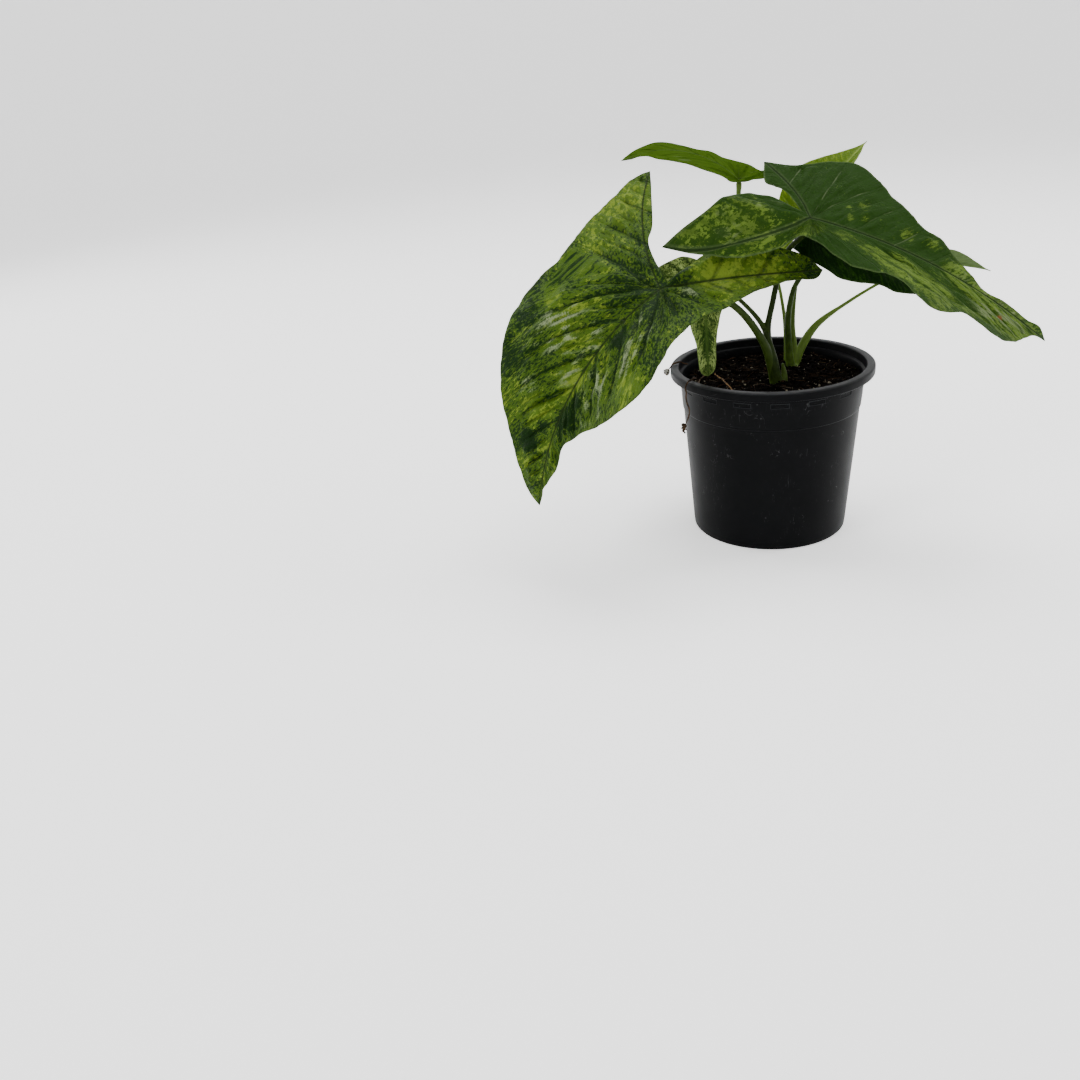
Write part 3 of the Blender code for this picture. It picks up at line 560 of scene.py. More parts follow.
def leaf_axes(leaf):
    """The midrib's direction, the leaf's left and its upper side, where the stalk meets it."""
    heading, pitch, roll = (math.radians(leaf[key]) for key in ("heading", "pitch", "roll"))
    ahead = Vector((math.cos(heading) * math.cos(pitch), math.sin(heading) * math.cos(pitch),
                    math.sin(pitch)))
    level = Vector((-math.sin(heading), math.cos(heading), 0))
    over = ahead.cross(level)
    return ahead, (level * math.cos(roll) + over * math.sin(roll)), \
        (over * math.cos(roll) - level * math.sin(roll))


def stalk_end(leaf, radius):
    """The last points of a stalk, which runs up into the rib under its leaf."""
    ahead, _, up = leaf_axes(leaf)
    lean = math.radians(leaf.get("lean", 0))
    along = up * math.cos(lean) + ahead * math.sin(lean)
    at = Vector(leaf["at"])
    clear = 0.3 + 0.35 * radius * math.tan(lean)
    return [at - along * 9.0, at - along * 5.5, at - along * clear]


def tube(bm, points, radii, sides=20, pitch=0.6, wobble=0.0):
    """Add a closed tube along a smooth curve, its radii read evenly along it."""
    length = sum((Vector(a) - Vector(b)).length for a, b in zip(points, points[1:]))
    count = max(6, round(length / pitch))
    path = spline(points, count)
    share = np.linspace(0, 1, count + 1)
    widths = np.interp(share, np.linspace(0, 1, len(radii)), radii)
    ends = np.minimum(share, 1 - share) * length
    ahead = np.gradient(path, axis=0)
    ahead /= np.linalg.norm(ahead, axis=1)[:, None]
    side = np.zeros_like(path)
    last = np.array([1.0, 0.0, 0.0])
    for row in range(count + 1):
        last = last - ahead[row] * last.dot(ahead[row])
        last /= np.linalg.norm(last)
        side[row] = last
    other = np.cross(ahead, side)
    grid = bmesh.ops.create_grid(bm, x_segments=count, y_segments=sides, size=0.5)["verts"]
    for vert in grid:
        row = round((vert.co.x + 0.5) * count)
        turn = math.tau * round((vert.co.y + 0.5) * sides) / sides
        width = widths[row]
        if ends[row] < width:
            width = math.sqrt(max(0.0, width ** 2 - (width - ends[row]) ** 2))
        width *= 1 + wobble * noise.noise(Vector(path[row]) / (4 * widths[row]))
        vert.co = Vector(path[row] + width * (side[row] * math.cos(turn)
                                              + other[row] * math.sin(turn)))
    bmesh.ops.remove_doubles(bm, verts=grid, dist=0.002)
    return path


def grow_shoot(name, stem, stalks, slot, node):
    """One stem base with its stalks grown together into one skin."""
    bm = bmesh.new()
    tube(bm, [(*stem, height) for height in STEM_HEIGHTS], STEM_RADII, 28, 1.0, 0.10)
    runs = [(tube(bm, points, radii), radii, shade) for points, radii, shade in stalks]
    bmesh.ops.recalc_face_normals(bm, faces=bm.faces)
    piece = place_piece(name, bm, slot, [node])
    skin = piece.modifiers.new("one_skin", "REMESH")
    skin.mode = "VOXEL"
    skin.voxel_size = 0.42 * MM
    skin.use_smooth_shade = True
    ease = piece.modifiers.new("eased", "CORRECTIVE_SMOOTH")
    ease.iterations = 6
    ease.use_only_smooth = True
    bake_modifiers(piece)
    count = len(piece.data.vertices)
    spots = np.empty(count * 3)
    piece.data.vertices.foreach_get("co", spots)
    spots = spots.reshape(-1, 3) / MM
    nearest = np.full(count, 1e9)
    shade_of = np.zeros(count)
    along_of = np.zeros(count)
    for path, radii, shade in runs:
        share = np.linspace(0, 1, len(path))
        widths = np.interp(share, np.linspace(0, 1, len(radii)), radii)
        for begin in range(0, count, 4000):
            part = slice(begin, begin + 4000)
            gaps = np.linalg.norm(spots[part, None] - path[None], axis=2) - widths
            best = gaps.argmin(axis=1)
            gap = gaps[np.arange(len(best)), best]
            closer = gap < nearest[part]
            nearest[part] = np.where(closer, gap, nearest[part])
            shade_of[part] = np.where(closer, shade, shade_of[part])
            along_of[part] = np.where(closer, share[best], along_of[part])
    for layer, values in (("shade", shade_of), ("along", along_of)):
        piece.data.attributes.new(layer, "FLOAT", "POINT").data.foreach_set("value", values)
    return piece


front = grow_shoot("stalks_front", FRONT_STEM, [
    (RIGHT_STALK + stalk_end(RIGHT_LEAF, 1.4), [3.0, 2.4, 1.8, 1.7, 1.6, 1.4], 0.2),
    (RIGHT_SHEATH, [3.8, 3.3, 1.6], 0.3),
    (LEFT_STALK + stalk_end(LEFT_LEAF, 1.4), [3.0, 2.4, 2.0, 1.8, 1.4], 0.45),
    (HANGING_STALK + stalk_end(HANGING_LEAF, 1.0), [2.6, 1.8, 1.4, 1.2, 1.0], 0.5),
    (STUB, [2.6, 2.0, 0.8], 0.9)], "petiole_dark", "shoot_front")
back = grow_shoot("stalks_back", BACK_STEM, [
    (LOW_STALK + stalk_end(LOW_LEAF, 1.2), [2.8, 2.0, 1.7, 1.5, 1.2], 0.2),
    (YOUNG_STALK + stalk_end(YOUNG_LEAF, 0.9), [2.4, 1.6, 1.1, 1.0, 0.9], 0.6),
    (REAR_STALK + stalk_end(REAR_LEAF, 0.9), [2.4, 1.6, 1.2, 1.1, 1.0, 1.0, 1.0, 1.1, 2.0], 0.8),
    (FAR_STALK + stalk_end(FAR_LEAF, 0.9), [2.8, 2.5, 1.2, 1.0, 0.9], 0.8)],
    "petiole_green", "shoot_back")

for piece, dark, light in ((front, (0.008, 0.016, 0.002), (0.038, 0.064, 0.009)),
                           (back, (0.012, 0.026, 0.003), (0.080, 0.130, 0.020))):
    skin = Finish(piece.name + "_skin", {"Specular IOR Level": 0.06})
    spot = skin.place()
    share = skin.attribute("shade") + 0.35 * skin.attribute("along").step(0.3, 0.0)
    mottle = skin.cloudy(spot, 3.5, 3, 0.6)
    streaks = skin.cloudy(skin.stretched(spot, (1.0, 1.0, 0.12)), 0.6, 2)
    shade = skin.over(dark, ((share + 0.5 * (mottle - 0.5)).step(0.05, 0.95), light),
                      (streaks.step(0.55, 0.75) * 0.35, light))
    skin.wear(piece, Base_Color=shade, Roughness=0.30 + 0.2 * mottle,
              Normal=skin.bumps(streaks + mottle, 0.08))


# The leaves: seven arrowhead blades about half a millimetre thick, each on its petiole. Three
# main veins meet over the petiole; side veins run from them to one vein inside the margin, and
# the blade puffs up between them. The green is broken up by mottling along the side veins.
def eased(stops, directions, column):
    """Read a column of stops at many directions, easing from one stop to the next."""
    at = np.array([stop[0] for stop in stops], float)
    value = np.array([stop[column] for stop in stops], float)
    index = np.clip(np.searchsorted(at, directions) - 1, 0, len(at) - 2)
    share = (directions - at[index]) / (at[index + 1] - at[index])
    share = share * share * (3 - 2 * share)
    return value[index] + (value[index + 1] - value[index]) * share


def lay(leaf, x, y):
    """Where points of the flat leaf lie on the bent one, in millimetres."""
    reach = np.hypot(x, y)
    turn = np.arctan2(y, x)
    rise = np.radians(eased(leaf["lie"], np.degrees(turn), 1))
    bend = np.radians(eased(leaf["lie"], np.degrees(turn), 2)) / 100
    bend = np.where(abs(bend) < 1e-6, 1e-6, bend)
    out = (np.sin(rise) - np.sin(rise - bend * reach)) / bend
    height = (np.cos(rise - bend * reach) - np.cos(rise)) / bend
    height = height * np.minimum(1.0, reach / FLAT_RADIUS)
    ahead, left, up = (np.array(axis)[None] for axis in leaf_axes(leaf))
    aside = out * np.sin(turn) + leaf["sweep"] * (np.maximum(x, 0.0) / 100) ** 2
    return (np.array(leaf["at"])[None] + ahead * (out * np.cos(turn))[:, None]
            + left * aside[:, None] + up * height[:, None])


def arrowhead(leaf):
    """Fill in a smaller leaf's outline from its named sizes."""
    length = leaf["length"]
    whole = dict(leaf)
    whole["tip"] = (length, 0)
    whole["notch"] = (-4, 0)
    for side, sign, half, lobe, spread in zip(("right", "left"), (-1, 1), leaf["widths"],
                                              leaf["lobes"], leaf["spreads"]):
        back = math.radians(180 - spread)
        tip = np.array([math.cos(back), math.sin(back)]) * lobe
        out = np.array([math.sin(back), -math.cos(back)])
        edge = [(0.94 * length, 0.05 * half), (0.82 * length, 0.30 * half),
                (0.64 * length, 0.66 * half), (0.44 * length, 0.93 * half),
                (0.24 * length, 1.0 * half), (0.06 * length, 0.86 * half),
                0.62 * tip + out * 0.42 * lobe, 0.88 * tip + out * 0.20 * lobe]
        inner = [0.86 * tip - out * 0.13 * lobe, 0.52 * tip - out * 0.16 * lobe]
        order = -sign
        whole[side + "_edge"] = [(x, sign * y) for x, y in edge][::order]
        whole[side + "_lobe"] = (tip[0], sign * tip[1])
        whole[side + "_inner"] = [(x, sign * y) for x, y in inner][::order]
        whole[side + "_bow"] = 0
    return whole


def lobe_vein(leaf, side, count):
    """Flat points along a lobe's main vein, from the stalk out."""
    tip = np.array(leaf[side + "_lobe"], float)
    across = np.array([-tip[1], tip[0]]) / np.linalg.norm(tip)
    middle = tip / 2 + across * leaf[side + "_bow"] * 2
    shares = np.linspace(0, 1, count + 1)[:, None]
    return 2 * shares * (1 - shares) * middle + shares ** 2 * tip


def smooth(values, low, high):
    """0 at low and 1 at high, smooth between them; falling where low is the larger."""
    share = np.clip((values - low) / (high - low), 0, 1)
    return share * share * (3 - 2 * share)


FAN_REACH = 40            # where the fan's side veins are as far apart as the others
NICK_DEPTH = 0.7


def side_veins(leaf, look, side, flat):
    """Where flat points lie among the side veins of one half.

    Gives the distance out along a side vein and across them in millimetres, the count of side
    veins, which is whole on each, how many millimetres one count spans there, the place along
    and beside the lobe's vein, and 1 in the lobe."""
    lean = look["lean"][side == "left"]
    sign = 1 if side == "left" else -1
    tip = np.array(leaf["tip"], float)
    length = np.linalg.norm(tip)
    tip /= length
    lobe = np.array(leaf[side + "_lobe"], float)
    lobe /= np.linalg.norm(lobe)
    first = math.atan2(1, lean)
    gap = look["vein_gap"] * math.sin(first)
    last = max(first + 0.2, math.acos(tip @ lobe) - first)
    wedge = gap * max(1, round(FAN_REACH * (last - first) / gap))
    x = flat @ tip
    t = abs(tip[0] * flat[:, 1] - tip[1] * flat[:, 0])
    x -= look["hook"] * t ** 2 * smooth(np.arctan2(t, x), last, first)
    turn = np.arctan2(t, x)
    reach = np.hypot(t, x)
    along_lobe = flat @ lobe
    off_lobe = sign * (lobe[1] * flat[:, 0] - lobe[0] * flat[:, 1])
    run = t / math.sin(first)
    across = -math.sin(first) * (x - lean * t)
    across *= 1 + look["crowd"] * np.maximum(x - lean * t, 0) / length
    span = np.full(len(flat), gap)
    fan = turn > first
    run = np.where(fan, reach, run)
    across = np.where(fan, wedge * (turn - first) / (last - first), across)
    span = np.where(fan, np.clip(reach * (last - first) / wedge * gap, 1.0, 2 * gap), span)
    lobed = (turn > last) | (off_lobe < 0) & (along_lobe > 0)
    run = np.where(lobed, abs(off_lobe) / math.sin(first), run)
    across = np.where(lobed, wedge + math.sin(first) * (along_lobe - lean * abs(off_lobe)),
                      across)
    span = np.where(lobed, gap, span)
    in_lobe = smooth(turn, last - 0.15, last + 0.05)
    return run, across, across / gap, span, along_lobe, off_lobe, in_lobe


def leaf_strips(leaf, along):
    """Side, main vein and edge of the four flat strips that make up a leaf."""
    tip = np.array(leaf["tip"], float)
    lobe_steps = round(along * 0.34)
    for side, order in (("right", 1), ("left", -1)):
        outer = spline([leaf["tip"]] + leaf[side + "_edge"][::order] + [leaf[side + "_lobe"]],
                       along)
        main = tip * (1 - np.linspace(0, 1, along - lobe_steps + 1))[:, None]
        vein = lobe_vein(leaf, side, lobe_steps)
        yield side, True, np.concatenate([main, vein[1:]]), outer
        yield side, False, vein[::-1], spline([leaf[side + "_lobe"]]
                                              + leaf[side + "_inner"][::order]
                                              + [leaf["notch"]], lobe_steps)


def nicked(margin, feet, depth, seed):
    """A margin with small waves and nicks, which fade out towards the leaf's three tips."""
    out = margin - feet
    width = np.maximum(np.linalg.norm(out, axis=1), 0.001)
    nicks = np.array([noise.noise(Vector((x / 7, y / 7, seed)))
                      + 0.6 * noise.noise(Vector((x / 2.6, y / 2.6, seed))) for x, y in margin])
    return margin + out * (depth * nicks * np.minimum(1, width / 8) / width)[:, None]


LEAF_KEYS = ("out", "edge", "share", "run", "across", "ribs", "span", "along", "beside", "lobed")


def flat_leaf(leaf, look):
    """A leaf laid flat as grids from veins to margin, each point with its numbers."""
    bm = bmesh.new()
    layers = bm.verts.layers.float
    keys = [layers.new(key) for key in LEAF_KEYS]
    ribbed = layers.new("ribbed")
    maps = [bm.loops.layers.uv.new(key) for key in ("flat", "streak", "veins", "lobe")]
    length_steps, width_steps = look["steps"]
    for side, outer, feet, margin in leaf_strips(leaf, length_steps):
        count = len(feet) - 1
        columns = width_steps if outer else max(8, width_steps // 2)
        grid = bmesh.ops.create_grid(bm, x_segments=count, y_segments=columns, size=0.5)["verts"]
        if outer:
            margin = nicked(margin, feet, NICK_DEPTH * look["wave"], look["seed"])
        corner = np.array([vert.co[:2] for vert in grid]) + 0.5
        row = np.rint(corner[:, 0] * count).astype(int)
        share = corner[:, 1] ** 1.2
        width = np.linalg.norm(margin - feet, axis=1)[row]
        flat = feet[row] * (1 - share)[:, None] + margin[row] * share[:, None]
        values = [share * width, (1 - share) * width, share if outer else share * 0.5]
        values += side_veins(leaf, look, side, flat)
        veined = look["side_vein"][side == "left"] * (1.0 if outer else 0.3)
        for vert, spot, numbers in zip(grid, flat, zip(*values)):
            vert.co = (*spot, 0)
            vert[ribbed] = veined
            for key, value in zip(keys, numbers):
                vert[key] = value
    for face in bm.faces:
        for loop in face.loops:
            vert = loop.vert
            run, across, ribs, span, along, beside = (vert[key] for key in keys[3:9])
            for uv, value in zip(maps, (vert.co.xy, (run, across), (ribs, span),
                                        (along, beside))):
                loop[uv].uv = value
    bmesh.ops.remove_doubles(bm, verts=bm.verts, dist=0.02)
    bmesh.ops.recalc_face_normals(bm, faces=bm.faces)
    if sum(face.normal.z * face.calc_area() for face in bm.faces) < 0:
        bmesh.ops.reverse_faces(bm, faces=bm.faces)
    return bm


def leaf_relief(look, flat, out, edge, share, run, across, ribs, span):
    """A leaf's rise, half thickness, rib below, lighter colour and painted sheen at each point."""
    seed = look["seed"]
    swell = np.array([noise.noise(Vector((x, y, seed)) / look["pucker"]) for x, y in flat])
    ridge = np.array([noise.noise(Vector((a / 15, b / 4.2, seed)))
                      + 0.4 * noise.noise(Vector((a / 6, b / 1.9, seed + 5)))
                      for a, b in zip(run, across)])
    to_vein = abs((ribs + 0.5) % 1 - 0.5) * span
    to_fine = abs(ribs % 1 - 0.5) * span
    off_rib = smooth(out, 0.8, 7)
    inside = off_rib * smooth(share, look["collect"] + 0.12, look["collect"] - 0.04)
    rim = smooth(edge, 0, 5)
    furrow = np.exp(-(to_vein / 2.6) ** 2) + 0.5 * np.exp(-(to_fine / 1.6) ** 2)
    puff = look["puff"] * inside * rim * (0.60 - furrow + 1.2 * ridge + 0.5 * swell)
    puff += look["puff"] * (1 - inside) * rim * off_rib * (0.35 * swell + 0.3 * ridge)
    keel = np.exp(-(out / 1.0) ** 2) * np.clip(edge / 8.0, 0.1, 1.0)
    relief = puff - 0.5 * keel + look["wave"] * smooth(edge, 9, 0) * swell
    under_rib = 1.0 * keel + 0.25 * np.exp(-(to_vein / 0.7) ** 2) * inside
    lit = np.zeros(len(flat))
    # How much painted sheen each point gets: a base amount, more in the zones, and only on ridges.
    sheen_share = np.full(len(flat), look["painted_sheen"])
    for x, y, size, more_light, more_sheen in look["zones"]:
        near = np.exp(-((flat[:, 0] - x) ** 2 + (flat[:, 1] - y) ** 2) / size ** 2)
        lit += more_light * near
        sheen_share += more_sheen * near
    sheen_share *= smooth(ridge + 0.25 * swell, -0.12, 0.42) * rim
    return relief, 0.16 + 0.10 * rim, under_rib, lit, sheen_share


def grow_leaf(name, leaf, look, slot, node):
    """A leaf: laid flat, bent, and given relief and thickness, inside its solid's box."""
    bm = flat_leaf(leaf, look)
    layers = bm.verts.layers.float
    light, gleam, below = (layers.new(key) for key in ("light", "gleam", "below"))
    number = bm.verts.layers.int.new("number")
    flat = np.array([vert.co[:2] for vert in bm.verts])
    keys = [layers[key] for key in LEAF_KEYS[:7]]
    relief, thick, under_rib, lit, sheen_share = leaf_relief(
        look, flat, *(np.array([vert[key] for vert in bm.verts]) for key in keys))
    spots = lay(leaf, flat[:, 0], flat[:, 1])
    for vert, spot in zip(bm.verts, spots):
        vert.co = spot
    bm.normal_update()
    normals = np.array([vert.normal for vert in bm.verts])
    first = set(bm.verts)
    for index, vert in enumerate(bm.verts):
        vert[number] = index
        vert[light] = lit[index]
        vert[gleam] = sheen_share[index]
    bmesh.ops.extrude_face_region(bm, geom=bm.faces[:], use_keep_orig=True)
    for vert in bm.verts:
        index = vert[number]
        lift = relief[index]
        if vert in first:
            lift -= thick[index] + under_rib[index]
            vert[below] = 1.0
        else:
            lift += thick[index]
        vert.co = spots[index] + normals[index] * lift
    bmesh.ops.recalc_face_normals(bm, faces=bm.faces)
    low, high = (np.array(corner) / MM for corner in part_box(node))
    for vert in bm.verts:
        vert.co = np.clip(np.array(vert.co), low, high)
    return place_piece(name, bm, slot, [node])


def dress_leaf(piece, look):
    """Green, mottled along the side veins, with a painted sheen where the blade puffs up."""
    green = Finish(piece.name + "_green", {"Specular IOR Level": look["gloss"]})
    flat, streak, veins, lobe = (green.node("UVMap", {}, uv_map=key)
                                 for key in ("flat", "streak", "veins", "lobe"))
    ribs = green.node("SeparateXYZ", {0: veins})
    span = green.node("SeparateXYZ", {0: veins}, output=1)
    to_vein = ribs.fold(0.5) * span
    to_fine = (ribs + 0.5).fold(0.5) * span
    out, edge, share, ribbed, light, gleam, below, lobed = (green.attribute(key) for key in (
        "out", "edge", "share", "ribbed", "light", "gleam", "below", "lobed"))
    seed = look["seed"]
    tint = green.cloudy(flat, 12.0, 3)
    lobed = (lobed + 0.6 * (tint - 0.5)).step(0.40, 0.60)

    def marks(drawn, shift, *kind):
        """Noise drawn out along the side veins, and in the lobes along their own veins."""
        blade = green.cloudy(green.stretched(streak, (drawn, 1, 1), shift), *kind)
        return blade + lobed * (green.cloudy(green.stretched(lobe, (drawn, 1, 1), shift),
                                             *kind) - blade)

    patches = marks(0.6, seed + 9, look["patch"], 3, 0.6)
    specks = marks(look["drawn"], seed, look["speck"], 6, 0.75, 0.2)
    flecks = marks(look["drawn"], seed, look["speck"] * 1.9, 5, 0.70, 0.3)
    inner = share.step(look["collect"] + 0.06, look["collect"] - 0.04)
    # Painted shade: more dark marks in the valleys by the side veins.
    valley_shade = to_vein.step(3.0, 0.0) * inner
    pattern = specks + look["patchy"] * (patches - 0.5) - 0.06 * valley_shade
    pattern = pattern + 0.3 * light.maths("MINIMUM", light, 0.6)
    lit = pattern.step(look["cover"] - 0.02, look["cover"] + 0.025)
    bright = flecks + 0.5 * (patches - 0.5) + look["bright_zones"] * light
    bright = bright.step(look["bright_at"] - 0.02, look["bright_at"] + 0.03)
    shade = green.over(look["mid"], (tint, look["mid_other"]),
                       (light.step(0.0, 0.9) * 0.85, look["zone"]), (bright, look["bright"]))
    dark = look["dark"]
    if "soften" in look:
        dark = green.blend(light.step(0.1, 0.8) * look["soften"], dark, look["mid"])
    # Painted sheen: the sheen colour laid over the ridges, keeping some of the dark specks.
    sheen_blend = (gleam + 1.1 * (specks - 0.5)).step(0.26, 0.82) * (0.45 + 0.55 * lit)
    # Painted shade in the furrows along the veins, as the dark green laid over them.
    furrow = to_vein.step(1.9, 0.1) * 0.5 + to_fine.step(1.2, 0.1) * 0.22
    side_vein = to_vein.step(0.5, 0.12) * inner * (patches + tint).step(0.8, 1.15)
    shade = green.over(green.blend(lit, dark, shade), (sheen_blend * 0.85, look["sheen"]),
                       (edge.step(1.1, 0.3) * 0.6, look["rim"]), (furrow * inner, look["dark"]),
                       (side_vein * ribbed, look["vein_colour"]),
                       (out.step(2.0, 1.0) * look["rib_side"], look["vein_colour"]),
                       (out.step(0.9, 0.4) * 0.85, look["midrib"]))
    if "scar" in look:
        to_scar = green.node("VectorMath", {0: flat, 1: (*look["scar"], 0)}, output=1,
                             operation="DISTANCE")
        shade = green.blend((to_scar + 3 * specks).step(3.9, 2.6), shade, (0.16, 0.065, 0.025))
    shade = green.blend(below * 0.8, shade, look["under"])
    cells = green.node("TexVoronoi", {"Vector": flat, "Scale": 1 / 2.2, "Randomness": 1.0},
                       feature="DISTANCE_TO_EDGE")
    creases = green.cloudy(green.stretched(streak, (0.3, 1, 1), 3.0), 1.5, 3, 0.6)
    relief = cells.step(0.0, 0.25) * 0.35 + creases * 1.5 + specks * 0.5
    relief = relief - to_vein.step(0.9, 0.0) * 0.9 - to_fine.step(0.7, 0.0) * 0.4
    green.wear(piece, Base_Color=shade,
               Roughness=look["rough"] + 0.22 * (creases - 0.5) + 0.15 * below,
               Normal=green.bumps(relief, 0.3))
